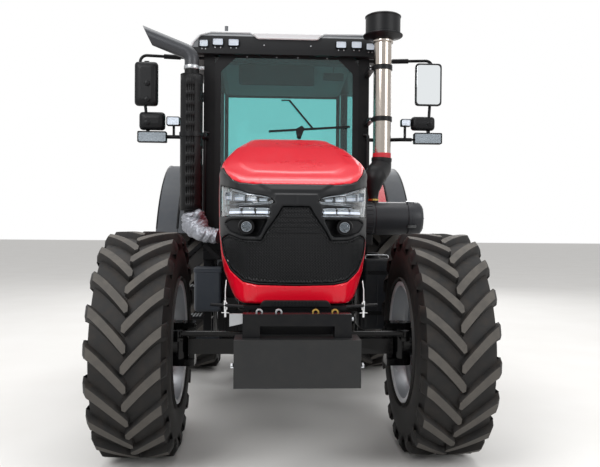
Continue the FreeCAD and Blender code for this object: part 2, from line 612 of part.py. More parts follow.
def make_cab_inside():
    tilt = 35
    down = V(0, -math.sin(math.radians(tilt)), -math.cos(math.radians(tilt)))
    centre = V(0, front(1990), 2140)
    stand = box(-170, 170, front(1480), front(1700), CAB_FLOOR_Z, 1950)
    binnacle = prism_x([(front(1450), 1950), (front(1740), 1950), (front(1690), 2100), (front(1450), 2100)], -260, 260)
    column = Part.makeCylinder(34, 500, centre + down * (26 + SEAT_GAP), down)
    PARTS["dashboard"] = fused([stand, binnacle, column])
    grip = 14
    section = [(grip * math.cos(math.radians(a)), 195 + grip * math.sin(math.radians(a))) for a in range(30, 390, 60)]
    wheel = ring(section, 24, (0, 0, 0))
    wheel.rotate(V(0, 0, 0), V(0, 1, 0), 90)
    spokes = [Part.makeBox(28, 190, 12, V(-14, 0, -6)) for _ in range(3)]
    for spoke, angle in zip(spokes, (90, 210, 330)):
        spoke.rotate(V(0, 0, 0), V(0, 0, 1), angle)
    middle = cylinder((0, 0, -26), (0, 0, 1), 45, 36)
    wheel = fused([wheel, middle] + spokes)
    wheel.rotate(V(0, 0, 0), V(1, 0, 0), -tilt)
    wheel.translate(centre)
    PARTS["steering_wheel"] = wheel
    PARTS["seat"] = fused([
        box(-190, 190, front(2380), front(2720), CAB_FLOOR_Z, 1680),
        box(-255, 255, front(2300), front(2780), 1680, 1810),
        prism_x([(front(2700), 1810), (front(2800), 1810), (front(2900), 2480), (front(2810), 2480)], -240, 240),
    ])


# Fittings

CLAMP_Z = {"exhaust": [2300], "intake": [2449, 2885]}
ARM_Y = 1408                # mirror arms leave the front pillars here
MIRRORS = {
    "left": {
        "glass": (1130, 1366, 2606, 2980), "small": (1103, 1315, 2392, 2515), "marker": (1125, 1374, 2270, 2368),
        "lamp": (1008, 1097, 2423, 2488), "bend": (1296, 3018), "foot": (1262, 2400), "low": 2312,
    },
    "right": {
        "glass": (1126, 1328, 2570, 2952), "small": (1063, 1286, 2360, 2517), "marker": (1046, 1296, 2250, 2346),
        "lamp": (933, 1048, 2398, 2476), "bend": (1292, 3015), "foot": (1214, 2372), "low": 2306,
    },
}


def make_stack_brackets():
    brackets = []
    for stack, side in ((INTAKE, 1), (EXHAUST, -1)):
        name = "intake" if side > 0 else "exhaust"
        radius = stack["pipe"] if side > 0 else stack["shield"]
        for z in CLAMP_Z[name]:
            band = cylinder((stack["x"], front(stack["y"]), z - 20), (0, 0, 1), radius + 8, 40)
            arm = box(side * 690, side * SIDE_X[0], front(stack["y"]), front(A_PILLAR[0]), z - 15, z + 15)
            hole = cylinder((stack["x"], front(stack["y"]), z - 30), (0, 0, 1), radius, 60)
            brackets.append(fused([band, arm]).cut(hole))
    return brackets


def make_stacks():
    x, y = EXHAUST["x"], front(EXHAUST["y"])
    radius = EXHAUST["pipe"]
    shield = cylinder((x, y, EXHAUST["low"]), (0, 0, 1), EXHAUST["shield"], EXHAUST["high"] - EXHAUST["low"])
    space = cylinder((x, y, EXHAUST["low"] + 8), (0, 0, 1), EXHAUST["shield"] - 4, EXHAUST["high"] - EXHAUST["low"] - 16)
    bore = cylinder((x, y, EXHAUST["low"] - 10), (0, 0, 1), radius, EXHAUST["high"] - EXHAUST["low"] + 20)
    PARTS["exhaust_shield"] = shield.cut(space).cut(bore)
    corner = V(x - 6, y, 2987)
    along = V(-368, 0, 144).normalize()
    tail = pipe([(x, y, 1560), (x, y, 2987), tuple(V(x, y, 2987) + along * 440)], radius, 130)
    lower = pipe([(x, y, 1580), (x, y, 1480), (-560, front(1000), 1470)], 74, 80)
    tail = fused([tail, lower, cylinder((x, y, 2850), (0, 0, 1), radius + 5, 36)])
    mouth = Part.makeCylinder(radius - 5, 400, V(x, y, 2987) + along * 250, along)
    cut = prism_y([(-1226, 3209), (-1147, 3048), (-1100, 2950), (-1500, 2950), (-1500, 3400), (-1320, 3400)], y - 100, y + 100)
    PARTS["exhaust_pipe"] = tail.cut(mouth).cut(cut)
    x, y = INTAKE["x"], front(INTAKE["y"])
    low, high, radius = INTAKE["low"], INTAKE["high"], INTAKE["pipe"]
    PARTS["intake_pipe"] = fused([cylinder((x, y, low), (0, 0, 1), radius, high - low),
                                  cylinder((x, y, high - 30), (0, 0, 1), radius + 12, 30)])
    PARTS["precleaner"] = lathe([(0, 0), (0, 84), (10, 100), (28, 169), (38, 169), (40, 153), (195, 153), (202, 142), (202, 0)],
                                (x, y, high), "z")
    elbow = pipe([(x, y, low), (x, y, 2020), (715, front(970), 1880), (715, front(970), 1832)], radius + 2, 100)
    neck = lathe([(0, 0), (0, 46), (98, 46), (134, radius + 2), (134, 0)], (715, front(970), 1700), "z")
    PARTS["intake_elbow"] = fused([elbow, neck])
    filter_y = front(FILTER["y"])
    radius = FILTER["radius"]
    length = FILTER["to"] - FILTER["from"]
    canister = lathe([(0, 0), (0, radius - 8), (12, radius), (length - 132, radius), (length - 132, radius + 9),
                      (length - 102, radius + 9), (length - 102, radius), (length - 26, radius), (length, radius - 22), (length, 0)],
                     (FILTER["from"], filter_y, FILTER["z"]), "x")
    PARTS["air_filter"] = canister
    PARTS["intake_elbow"] = PARTS["intake_elbow"].cut(canister)


def tank_body():
    return rounded(box(620, 895, front(1000), front(1372), 665, 1263), 60, (0, 0, 1))


def tool_box_body():
    return box(-790, -555, front(1180), front(1372), 790, 1167)


def make_mirrors():
    arms, glasses, markers, lamps = [], [], [], []
    for name, side in (("left", 1), ("right", -1)):
        size = MIRRORS[name]
        y = front(1340)
        start = front(ARM_Y)
        bend_x, bend_z = size["bend"]
        foot_x, foot_z = size["foot"]
        upper = pipe([(side * SIDE_X[0], start, bend_z), (side * 830, start, bend_z), (side * bend_x, y, bend_z),
                      (side * foot_x, y, foot_z)], 13, 60)
        along = V(side * (bend_x - 830), y - start, 0).normalize()
        sleeve = Part.makeCylinder(21, 145, V(side * 830, start, bend_z) + along * 112, along)
        x0, x1, z0, z1 = size["small"]
        low_z = size["low"]
        stub_x = sum(size["lamp"][:2]) / 2
        lower = pipe([(side * SIDE_X[0], start, low_z), (side * 830, start, low_z), (side * (stub_x - 40), y, low_z),
                      (side * foot_x, y, low_z)], 10, 60)
        stay = box(side * (foot_x - 14), side * (foot_x + 14), y - 14, y + 14, low_z - 20, z0 + 30)
        stub = box(side * (stub_x - 10), side * (stub_x + 10), y - 10, y + 10, low_z - 8, size["lamp"][2] + 30)
        arm = fused([upper, sleeve, lower, stay, stub])
        arms.append(arm)
        for key, deep in (("glass", 62), ("small", 58)):
            a, b, c, d = size[key]
            block = rounded(box(side * a, side * b, y - deep, y + 6, c, d), 28, (0, 1, 0))
            glasses.append(block.cut(arm))
        a, b, c, d = size["marker"]
        markers.append(box(side * a, side * b, y - 66, y - 4, c, d).cut(arm))
        a, b, c, d = size["lamp"]
        lamps.append(box(side * a, side * b, y - 60, y - 4, c, d).cut(arm))
    PARTS["mirror_arms"] = Part.makeCompound(arms)
    PARTS["mirrors"] = Part.makeCompound(glasses)
    return markers, lamps


def make_fittings():
    make_stacks()
    PARTS["fuel_tank"] = tank_body()
    PARTS["tool_box"] = tool_box_body()
    plates = [box(660, 735, front(a), front(a + 15), 420, CAB_FLOOR_Z - FLOOR_THICK) for a in (1450, 1675)]
    treads = [box(660, 980, front(1450), front(1690), z, z + 25) for z in (420, 690, 960)]
    ladder = fused(plates + treads)
    PARTS["steps"] = Part.makeCompound(both_sides(ladder))
    markers, lamps = make_mirrors()
    tail = box(1035, 1175, rear(820), rear(985), 1680, 1830).cut(
        cylinder((900, REAR_AXLE_Y, REAR_AXLE_Z), (1, 0, 0), GUARD_RADIUS, 400))
    PARTS["marker_lamps"] = Part.makeCompound(markers + both_sides(tail))
    PARTS["work_lamps"] = Part.makeCompound(lamps + make_roof())
    glass_y = front(CAB_FRONT)
    PARTS["wiper"] = fused([
        cylinder((110, glass_y, 2330), (0, -1, 0), 18, 34),
        prism_y([(98, 2326), (122, 2326), (152, 2396), (128, 2396)], glass_y - 34, glass_y - 24),
        prism_y([(-160, 2362), (-158, 2380), (562, 2432), (563, 2414)], glass_y - 24, glass_y - 6),
        prism_y([(-150, 2365), (-150, 2372), (555, 2424), (555, 2417)], glass_y - 6, glass_y),
        prism_y([(230, 2388), (244, 2396), (26, 2652), (14, 2642)], glass_y - 34, glass_y - 24),
        prism_y([(-50, 2641), (20, 2641), (20, 2652), (-50, 2650)], glass_y - 34, glass_y - 24),
    ])


# Rear hitch

def make_hitch():
    pivot = rear(HITCH_PIVOT)
    eye_y = rear(REAR_REACH - LINK_EYE_OUTER)
    links, holders, arms, rods = [], [], [], []
    for side in (1, -1):
        x = side * LINK_X
        outline = [(pivot, -42), (pivot + LIFT_ARM - 60, -42), (eye_y - 120, -30), (eye_y, -30), (eye_y, 30),
                   (eye_y - 120, 30), (pivot + LIFT_ARM - 60, 42), (pivot, 42)]
        bar = prism_x([(y, LINK_PIVOT_Z + z) for y, z in outline], x - 22, x + 22)
        ends = [cylinder((x - 22, pivot, LINK_PIVOT_Z), (1, 0, 0), 48, 44),
                cylinder((x - 22, eye_y, LINK_PIVOT_Z), (1, 0, 0), LINK_EYE_OUTER, 44)]
        link = bar.multiFuse(ends)
        link = link.cut(cylinder((x - 30, eye_y, LINK_PIVOT_Z), (1, 0, 0), LINK_EYE_RADIUS, 60))
        link = link.cut(cylinder((x - 30, pivot, LINK_PIVOT_Z), (1, 0, 0), 18 + SEAT_GAP, 60))
        pin = cylinder((side * 340, pivot + LIFT_ARM, LINK_PIVOT_Z), (-side, 0, 0), LIFT_PIN, 44)
        links.append(link.fuse(pin))
        holders += [
            box(side * GEARBOX_X, side * 310, rear(60), pivot + 55, LINK_PIVOT_Z - 60, LINK_PIVOT_Z + 60),
            cylinder((side * GEARBOX_X, pivot, LINK_PIVOT_Z), (side, 0, 0), 18, 150),
        ]
        arms.append(prism_x([(pivot - 60, ROCKSHAFT_Z - 62), (pivot + 60, ROCKSHAFT_Z - 62), (pivot + LIFT_ARM + 30, ROCKSHAFT_Z - 30),
                             (pivot + LIFT_ARM + 30, ROCKSHAFT_Z + 30), (pivot + 60, ROCKSHAFT_Z + 62), (pivot - 60, ROCKSHAFT_Z + 62)],
                            side * 264, side * 300))
        arms.append(cylinder((side * 300, pivot + LIFT_ARM, ROCKSHAFT_Z), (side, 0, 0), LIFT_PIN, 34))
        low = 301 if side > 0 else -331
        rod = [box(low + 1, low + 29, pivot + LIFT_ARM - 16, pivot + LIFT_ARM + 16, LINK_PIVOT_Z, ROCKSHAFT_Z),
               cylinder((low + 15, pivot + LIFT_ARM, 700), (0, 0, 1), 27, 260)]
        rod[1] = rod[1].common(box(low, low + 30, pivot, pivot + 2 * LIFT_ARM, 600, 1100))
        rod += [cylinder((low, pivot + LIFT_ARM, z), (1, 0, 0), 32, 30) for z in (LINK_PIVOT_Z, ROCKSHAFT_Z)]
        rod = fused(rod)
        for z in (LINK_PIVOT_Z, ROCKSHAFT_Z):
            rod = rod.cut(cylinder((low - 5, pivot + LIFT_ARM, z), (1, 0, 0), LIFT_PIN + SEAT_GAP, 40))
        rods.append(rod)
    shaft = cylinder((-300, pivot, ROCKSHAFT_Z), (1, 0, 0), 40, 600)
    housing = box(-240, 240, rear(120), pivot + 80, GEARBOX_TOP, 1230).cut(
        cylinder((-300, pivot, ROCKSHAFT_Z), (1, 0, 0), 40 + SEAT_GAP, 600))
    drawbar = box(-45, 45, rear(-300), rear(DRAWBAR_END), 372, 420)
    holders += [box(-GEARBOX_X, GEARBOX_X, rear(120), rear(150), 430, 620), housing,
                box(-90, 90, rear(0), rear(118), 340, 420).cut(drawbar)]
    PARTS["lower_links"] = Part.makeCompound(links)
    PARTS["lift_arms"] = fused([shaft] + arms)
    PARTS["lift_rods"] = Part.makeCompound(rods)
    PARTS["hitch_brackets"] = fused(holders)
    PARTS["drawbar"] = drawbar.cut(cylinder((0, rear(600), 300), (0, 0, 1), 16.5, 200))
    PARTS["pto_shaft"] = cylinder((0, rear(120) + SEAT_GAP, 700), (0, 1, 0), 17.45, 120)
    PARTS["top_link"] = fused([box(-28, 28, rear(120), rear(200), 945, 1020), cylinder((0, rear(200), 982), (0, 1, 0), 24, 360),
                               box(-20, 20, rear(550), rear(640), 955, 1010)])


def main():
    os.makedirs("parts", exist_ok=True)
    make_wheels()
    make_front_frame()
    make_drive_line()
    make_front_axle()
    make_bonnet()
    make_cab_body()
    make_doors()
    make_mudguards()
    make_cab_inside()
    make_fittings()
    make_hitch()
    for name, shape in PARTS.items():
        shape.exportStep(f"parts/{name}.step")


if __name__ == "__main__":
    main()
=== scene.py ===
"""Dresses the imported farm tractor: tread, lamps, glass, hoses, bolts and finishes over the CAD frame."""
import json
import logging
import math
from dataclasses import dataclass, field
from enum import Enum
from typing import Callable, Optional, Sequence

import bmesh
import bpy
import numpy as np
from mathutils import Matrix, Vector
from mathutils.geometry import delaunay_2d_cdt

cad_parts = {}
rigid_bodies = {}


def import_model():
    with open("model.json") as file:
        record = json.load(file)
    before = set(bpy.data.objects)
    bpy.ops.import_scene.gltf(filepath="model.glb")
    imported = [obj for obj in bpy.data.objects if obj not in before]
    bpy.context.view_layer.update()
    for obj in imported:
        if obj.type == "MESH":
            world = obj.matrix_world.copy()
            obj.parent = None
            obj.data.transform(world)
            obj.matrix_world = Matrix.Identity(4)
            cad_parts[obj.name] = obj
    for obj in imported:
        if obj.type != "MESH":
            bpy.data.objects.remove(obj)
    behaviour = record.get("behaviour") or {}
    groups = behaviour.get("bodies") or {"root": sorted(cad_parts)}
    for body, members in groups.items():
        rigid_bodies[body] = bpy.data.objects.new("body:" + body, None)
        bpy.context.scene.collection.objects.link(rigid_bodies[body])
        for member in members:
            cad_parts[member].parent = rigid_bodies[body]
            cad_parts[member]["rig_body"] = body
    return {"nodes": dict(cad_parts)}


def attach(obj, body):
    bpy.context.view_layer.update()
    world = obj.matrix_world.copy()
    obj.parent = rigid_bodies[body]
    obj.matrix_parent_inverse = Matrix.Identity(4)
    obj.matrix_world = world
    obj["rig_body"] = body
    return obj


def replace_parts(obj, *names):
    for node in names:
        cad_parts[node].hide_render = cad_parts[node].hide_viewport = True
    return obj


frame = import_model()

LOG = logging.getLogger("tractor")
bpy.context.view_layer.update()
Array = np.ndarray
Item = bpy.types.Object
Tree = bpy.types.NodeTree
Socket = bpy.types.NodeSocket
FRONT_AXLE_Y = -1.485
REAR_AXLE_Y = 1.315
FRONT_TYRE_RADIUS = 0.745
REAR_TYRE_RADIUS = 0.975
FRONT_WHEEL_X = 0.980
REAR_WHEEL_X = 0.930
SIDES = (("left", 1), ("right", -1))
FORWARD = (0, -1, 0)
# Points round a wheel, and halvings of a ray that looks for the bonnet's surface
WHEEL_POINTS = 96
HALVINGS = 36


def front(y: float) -> float:
    """Y of a point given behind the front axle, in metres."""
    return FRONT_AXLE_Y + y


def turns(count: int) -> Array:
    """Even angles of one full turn, in radians."""
    return np.linspace(0, 2 * np.pi, count, endpoint=False)


def link(name: str, data: bpy.types.ID) -> Item:
    """Put data into a new object of the scene."""
    made = bpy.data.objects.new(name, data)
    bpy.context.scene.collection.objects.link(made)
    return made


# Colour and materials

def linear(code: str) -> tuple[float, float, float, float]:
    """Turn an sRGB hex value to linear colour.

    Args:
        code: Six hex digits.

    Returns:
        Linear red, green, blue and alpha 1.
    """
    srgb = np.array([int(code[k:k + 2], 16) for k in (0, 2, 4)]) / 255.0
    values = np.where(srgb <= 0.04045, srgb / 12.92, ((srgb + 0.055) / 1.055) ** 2.4)
    return (*values.tolist(), 1.0)


def add_node(tree: Tree, kind: str, settings: Optional[dict] = None, **links) -> bpy.types.Node:
    """Add one node with its settings and links.

    Args:
        tree: Node tree that gets it.
        kind: Blender's node type after ShaderNode.
        settings: Attributes by name; a key that starts with "in:" sets that input's value.
        links: Input names, with spaces as underscores, and the output socket that feeds each.

    Returns:
        The node.
    """
    made = tree.nodes.new("ShaderNode" + kind)
    for key, value in (settings or {}).items():
        if key.startswith("in:"):
            socket = key[3:]
            made.inputs[int(socket) if socket.isdigit() else socket].default_value = value
        else:
            setattr(made, key, value)
    for name, output in links.items():
        key = name.lstrip("_")
        tree.links.new(output, made.inputs[int(key) if key.isdigit() else key.replace("_", " ")])
    return made


def start_material(name: str) -> tuple:
    """New material with its tree, shader and object coordinates.

    Args:
        name: Material name.

    Returns:
        Material, node tree, shader and the coordinates' socket.
    """
    material = bpy.data.materials.new(name)
    material.use_nodes = True
    tree = material.node_tree
    where = add_node(tree, "TexCoord").outputs["Object"]
    return material, tree, tree.nodes["Principled BSDF"], where


def set_inputs(shader: bpy.types.Node, values: dict) -> None:
    """Set a shader's own sockets by name."""
    for name, value in values.items():
        shader.inputs[name].default_value = value


def noise(tree: Tree, where: Socket, scale: float, detail: float, **more: float):
    """Noise texture's value; more sets other inputs by name."""
    settings = {"in:Scale": scale, "in:Detail": detail, **{"in:" + name: value for name,
            value in more.items()}}
    return add_node(tree, "TexNoise", settings, Vector=where).outputs["Fac"]


class Pattern(Enum):
    """What a finish's fine relief looks like."""

    PEEL = "orange peel of sprayed paint"
    GRAIN = "moulded grain of plastic"
    CAST = "sand-cast skin"
    BRUSHED = "fine lines round a polished tube"
    RUBBER = "cured rubber with mould marks"
    WEAVE = "woven cloth"
    SMOOTH = "almost none"


@dataclass(frozen=True)
class Finish:
    """One real material, with its colours, gloss and relief."""

    name: str
    colour: str
    second: str
    roughness: float
    pattern: Pattern = Pattern.SMOOTH
    grain_mm: float = 1.0
    depth_mm: float = 0.05
    metallic: float = 0.0
    coat: float = 0.0
    dust: float = 0.0
    dust_colour: str = "8A8174"
    ior: float = 1.5
    sheen: float = 0.0

    def relief(self, tree: Tree, where: Socket) -> Socket:
        """Height of the fine relief.

        Args:
            tree: Node tree that gets it.
            where: Object coordinates.

        Returns:
            A value about 0.5, in grains of grain_mm.
        """
        scale = 1000.0 / self.grain_mm
        if self.pattern is Pattern.WEAVE:
            bands = [add_node(tree, "TexWave", {"bands_direction": way, "in:Scale": scale / 6.3},
                              Vector=where) for way in ("X", "Z")]
            return add_node(tree, "Math", {"operation": "MULTIPLY"}, _0=bands[0].outputs["Fac"],
                            _1=bands[1].outputs["Fac"]).outputs[0]
        if self.pattern is Pattern.CAST:
            return add_node(tree, "TexVoronoi", {"feature": "SMOOTH_F1", "in:Scale": scale,
                    "in:Smoothness": 0.8}, Vector=where).outputs["Distance"]
        detail = {Pattern.PEEL: 1.0, Pattern.GRAIN: 3.0, Pattern.RUBBER: 6.0}.get(self.pattern, 2.0)
        if self.pattern is Pattern.BRUSHED:
            where = add_node(tree, "Mapping", {"in:Scale": (0.04, 0.04, 1.0)}, Vector=where).outputs[0]
        return noise(tree, where, scale, detail)

    def build(self) -> bpy.types.Material:
        """Make the material once and give it back each time."""
        if self.name in bpy.data.materials:
            return bpy.data.materials[self.name]
        material, tree, shader, where = start_material(self.name)
        broad = noise(tree, where, 2.3, 5.0, Roughness=0.6)
        tint = add_node(tree, "Mix", {"data_type": "RGBA", "in:6": linear(self.colour),
                                      "in:7": linear(self.second)}, _0=broad)
        colour = tint.outputs[2]
        shine = add_node(tree, "MapRange", {"in:3": max(0.02, self.roughness - 0.06),
                                            "in:4": min(1.0, self.roughness + 0.08)}, _0=broad).outputs[0]
        if self.dust:
            colour, shine = self.dusty(tree, where, colour, shine)
        tree.links.new(colour, shader.inputs["Base Color"])
        tree.links.new(shine, shader.inputs["Roughness"])
        bump = add_node(tree, "Bump", {"in:Strength": 1.0, "in:Distance": self.depth_mm / 1000.0},
                        Height=self.relief(tree, where))
        tree.links.new(bump.outputs[0], shader.inputs["Normal"])
        set_inputs(shader, {"Metallic": self.metallic, "Coat Weight": self.coat, "Coat Roughness": 0.04,
                            "Sheen Weight": self.sheen})
        if not self.metallic:
            shader.inputs["IOR"].default_value = self.ior
        material.diffuse_color = linear(self.colour)
        return material

    def dusty(self, tree: Tree, where: Socket, colour: Socket,
              shine: Socket) -> tuple[Socket, Socket]:
        """Lay pale yard dust in patches, more on what faces up.

        Args:
            tree: Node tree that gets it.
            where: Object coordinates.
            colour: Clean colour.
            shine: Clean roughness.

        Returns:
            Colour and roughness with the dust.
        """
        patches = noise(tree, where, 14.0, 8.0, Roughness=0.65)
        spots = add_node(tree, "MapRange", {"in:1": 0.42, "in:2": 0.75}, _0=patches).outputs[0]
        up = add_node(tree, "SeparateXYZ", _0=add_node(tree, "NewGeometry").outputs["Normal"]).outputs[2]
        top = add_node(tree, "MapRange", {"in:1": -0.2, "in:2": 1.0, "in:3": 0.35, "in:4": 1.0},
                       _0=up).outputs[0]
        amount = add_node(tree, "Math", {"operation": "MULTIPLY"}, _0=spots, _1=top).outputs[0]
        amount = add_node(tree, "Math", {"operation": "MULTIPLY", "in:1": self.dust}, _0=amount).outputs[0]
        mixed = add_node(tree, "Mix", {"data_type": "RGBA", "in:7": linear(self.dust_colour)}, _0=amount,
                         _6=colour)
        rough = add_node(tree, "Mix", {"in:3": 0.9}, _0=amount, _2=shine)
        return mixed.outputs[2], rough.outputs[0]


@dataclass(frozen=True)
class Clear:
    """Glass, lenses and mirrors."""

    name: str
    colour: str
    roughness: float = 0.0
    ior: float = 1.5
    transmission: float = 1.0
    metallic: float = 0.0
    glow: float = 0.0

    def build(self) -> bpy.types.Material:
        """Make the material once; faint smears keep large panes from looking empty."""
        if self.name in bpy.data.materials:
            return bpy.data.materials[self.name]
        material, tree, shader, where = start_material(self.name)
        smear = noise(tree, where, 5.0, 7.0, Distortion=1.0)
        shine = add_node(tree, "MapRange", {"in:1": 0.45, "in:2": 0.9, "in:3": self.roughness,
                                            "in:4": self.roughness + 0.06}, _0=smear)
        tree.links.new(shine.outputs[0], shader.inputs["Roughness"])
        set_inputs(shader, {"Base Color": linear(self.colour), "Transmission Weight": self.transmission,
                            "Metallic": self.metallic})
        if not self.metallic:
            shader.inputs["IOR"].default_value = self.ior
        if self.glow:
            set_inputs(shader, {"Emission Color": linear(self.colour), "Emission Strength": self.glow})
        material.diffuse_color = (*linear(self.colour)[:3], 1.0 - 0.6 * self.transmission)
        return material


# Two-coat automotive enamel, sprayed: deep colour, a wet clear coat and a slight orange peel
RED_ENAMEL = Finish("red_enamel", "CC001E", "D60424", 0.28, Pattern.PEEL, 2.5, 0.012, coat=0.25, ior=1.34)
# Powder-coated plate: even satin with a fine peel
BLACK_POWDER = Finish("black_powder_coat", "0C0D0F", "111215", 0.34, Pattern.PEEL, 1.6, 0.03, dust=0.04,
                      ior=1.26)
# Brushed-on chassis gloss over castings: wet looking, rough underneath
CHASSIS_GLOSS = Finish("black_chassis_gloss_on_cast_iron", "050607", "0A0B0D", 0.14, Pattern.CAST, 3.0,
                       0.10, dust=0.05, ior=1.30)
# Sand-cast iron, painted thinly: pebbled and duller
CAST_IRON = Finish("painted_grey_cast_iron", "0F1012", "16181A", 0.46, Pattern.CAST, 4.0, 0.3, dust=0.15,
                   ior=1.28)
# Ballast block, cast and powder coated dark grey: flat and even
BALLAST_GREY = Finish("powder_coated_ballast_iron", "1D1E1F", "222324", 0.44, Pattern.PEEL, 2.0, 0.06,
                      dust=0.04, ior=1.35)
# Silver wheel enamel on pressed steel
WHEEL_SILVER = Finish("silver_wheel_enamel", "A9ADB2", "BABEC2", 0.33, Pattern.PEEL, 1.2, 0.02,
                      metallic=0.55, coat=0.4, dust=0.12)
# Injection-moulded ABS with a spark-eroded grain: soft grey sheen
BLACK_ABS = Finish("grained_black_abs", "111214", "161719", 0.40, Pattern.GRAIN, 1.2, 0.06, ior=1.28)
# Rotation-moulded polyethylene: waxy, slightly mottled
TANK_POLYETHYLENE = Finish("moulded_polyethylene_tank", "0D1015", "12161C", 0.40, Pattern.GRAIN, 3.0, 0.10,
                           dust=0.06, ior=1.38)
# Mudguard polyolefin: mid grey with a matt grain
GUARD_PLASTIC = Finish("grained_grey_polyolefin", "3A3E44", "42464C", 0.52, Pattern.GRAIN, 1.5, 0.10,
                       dust=0.08, ior=1.4)
# Polished stainless tube: mirror with lines round it
POLISHED_STAINLESS = Finish("polished_stainless_tube", "B9B2AB", "8F857C", 0.14, Pattern.BRUSHED, 1.0,
                            0.004, metallic=1.0)
# Zinc-plated fasteners and pins
ZINC_STEEL = Finish("zinc_plated_steel", "B4B6B9", "A2A5A8", 0.30, Pattern.GRAIN, 0.8, 0.02, metallic=1.0)
# Yellow-passivated lifting eyes
BRASS_EYE = Finish("yellow_passivated_steel", "B79A55", "A48645", 0.34, Pattern.GRAIN, 0.8, 0.02,
                   metallic=1.0)
# Bright drawn steel rods
BRIGHT_STEEL = Finish("drawn_bright_steel", "5E6165", "505357", 0.24, Pattern.BRUSHED, 0.6, 0.01,
                      metallic=1.0, dust=0.05)
# Heat-proof black stove enamel on the exhaust
STOVE_BLACK = Finish("stove_enamel_black", "0E0F10", "131416", 0.44, Pattern.PEEL, 1.0, 0.03, dust=0.03,
                     ior=1.26)
# Aluminised steel of the exhaust tail, darkened by heat
TAIL_GREY = Finish("heat_darkened_aluminised_steel", "2F3135", "3A3C40", 0.36, Pattern.PEEL, 1.0, 0.02,
                   metallic=0.35)
# Glass-cloth insulation with a foil face
FOIL_WRAP = Finish("foil_faced_insulation", "9EA1A8", "80838B", 0.45, Pattern.GRAIN, 9.0, 1.6, metallic=0.6)
# Tyre tread compound: carbon black with mould marks; real grit is finer than this
TREAD_RUBBER = Finish("tyre_tread_rubber", "141414", "1B1A1A", 0.60, Pattern.RUBBER, 6.0, 0.25, dust=0.30,
                      dust_colour="55493E", ior=1.38)
# Faces of the lugs, scuffed pale by the yard
TREAD_FACE = Finish("scuffed_lug_face", "403D3A", "4E4B47", 0.66, Pattern.RUBBER, 6.0, 0.25, dust=0.35,
                    dust_colour="7C766D", ior=1.4)
# Lip and bead of the roof's front edge
ROOF_EDGE = Finish("pale_roof_edge", "C2C4C6", "CDCFD1", 0.35, Pattern.PEEL, 1.0, 0.03, dust=0.03, ior=1.4)
# Tool box moulding
BOX_SLATE = Finish("slate_box_moulding", "2C3138", "363C44", 0.40, Pattern.GRAIN, 1.5, 0.06, dust=0.08,
                   ior=1.4)
# Pale rings on the edges of the rims: a painted highlight, the bright line where light catches the flanges
RIM_EDGE_HIGHLIGHT = Finish("pale_rim_edge", "CDD0D4", "D8DADD", 0.30, Pattern.PEEL, 1.0, 0.02, ior=1.45)
# Air filter moulding
FILTER_GREY = Finish("air_filter_moulding", "25272A", "2C2E32", 0.40, Pattern.GRAIN, 1.5, 0.06, ior=1.35)
# Intake hose rubber: softly shining
HOSE_RUBBER = Finish("moulded_hose_rubber", "0D0D0F", "121214", 0.46, Pattern.RUBBER, 4.0, 0.15, ior=1.30)
# Cab floor and roof lining
LINING = Finish("grey_foam_lining", "3B3D40", "46484B", 0.85, Pattern.WEAVE, 2.0, 0.20, sheen=0.3)
# Woven seat cloth, 2 mm threads
SEAT_CLOTH = Finish("woven_seat_cloth", "1E2023", "2A2D31", 0.85, Pattern.WEAVE, 2.0, 0.30, sheen=0.4)
# Satin aluminium reflectors inside the lamps
LAMP_REFLECTOR = Finish("vacuum_metallised_reflector", "B2B6BB", "858A90", 0.12, Pattern.SMOOTH, 3.0, 0.02,
                        metallic=1.0)
# Roof moulding top
ROOF_GREY = Finish("grey_roof_moulding", "55585C", "5F6266", 0.40, Pattern.GRAIN, 1.5, 0.05, dust=0.1)
# Nylon of the small ties under the chin
WHITE_TIE = Finish("white_nylon_tie", "D8D9DA", "E4E5E6", 0.55, Pattern.GRAIN, 1.0, 0.03)
# Blank plate in white stove enamel
WHITE_ENAMEL = Finish("white_stove_enamel", "D6D7D8", "DEDFE0", 0.35, Pattern.PEEL, 2.0, 0.01)
# Silicone band between tube and elbow
RED_SILICONE = Finish("red_silicone_band", "B01424", "BC1C2C", 0.50, Pattern.RUBBER, 3.0, 0.05)

TINTED_GLASS = Clear("green_tinted_cab_glass", "A3DCDB", ior=1.45)
LENS = Clear("polycarbonate_lens", "F4F8FA", ior=1.35)
AMBER_LENS = Clear("amber_lens", "F08A1E", roughness=0.05, ior=1.45)
RED_LENS = Clear("red_lens", "C81418", roughness=0.05, ior=1.45)
MIRROR_GLASS = Clear("silvered_mirror", "E4E8EA", transmission=0.0, metallic=1.0)
LED_WHITE = Clear("led_light_guide", "F2F6FF", roughness=0.3, transmission=0.2, glow=0.35)


# Meshes worked out with numpy

def make_piece(name: str, verts: Array, faces: Sequence, finish, body: str, smooth: float = 40.0) -> Item:
    """Put points and faces into an object that rides on a body.

    Args:
        name: Piece name.
        verts: Points, one a row, in metres in the tractor's frame.
        faces: Vertex indices of each face.
        finish: Finish or Clear of the whole piece.
        body: CAD body that it rides on.
        smooth: Edges sharper than this many degrees stay sharp; 0 leaves all flat.

    Returns:
        The object.
    """
    mesh = bpy.data.meshes.new(name)
    mesh.from_pydata(np.asarray(verts, float).tolist(), [], [list(map(int, f)) for f in faces])
    mesh.update()
    piece = link(name, mesh)
    mesh.materials.append(finish.build())
    if smooth:
        mesh.shade_smooth()
        mesh.set_sharp_from_angle(angle=math.radians(smooth))
    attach(piece, body)
    LOG.info("%s: %d faces on %s", name, len(mesh.polygons), body)
    return piece


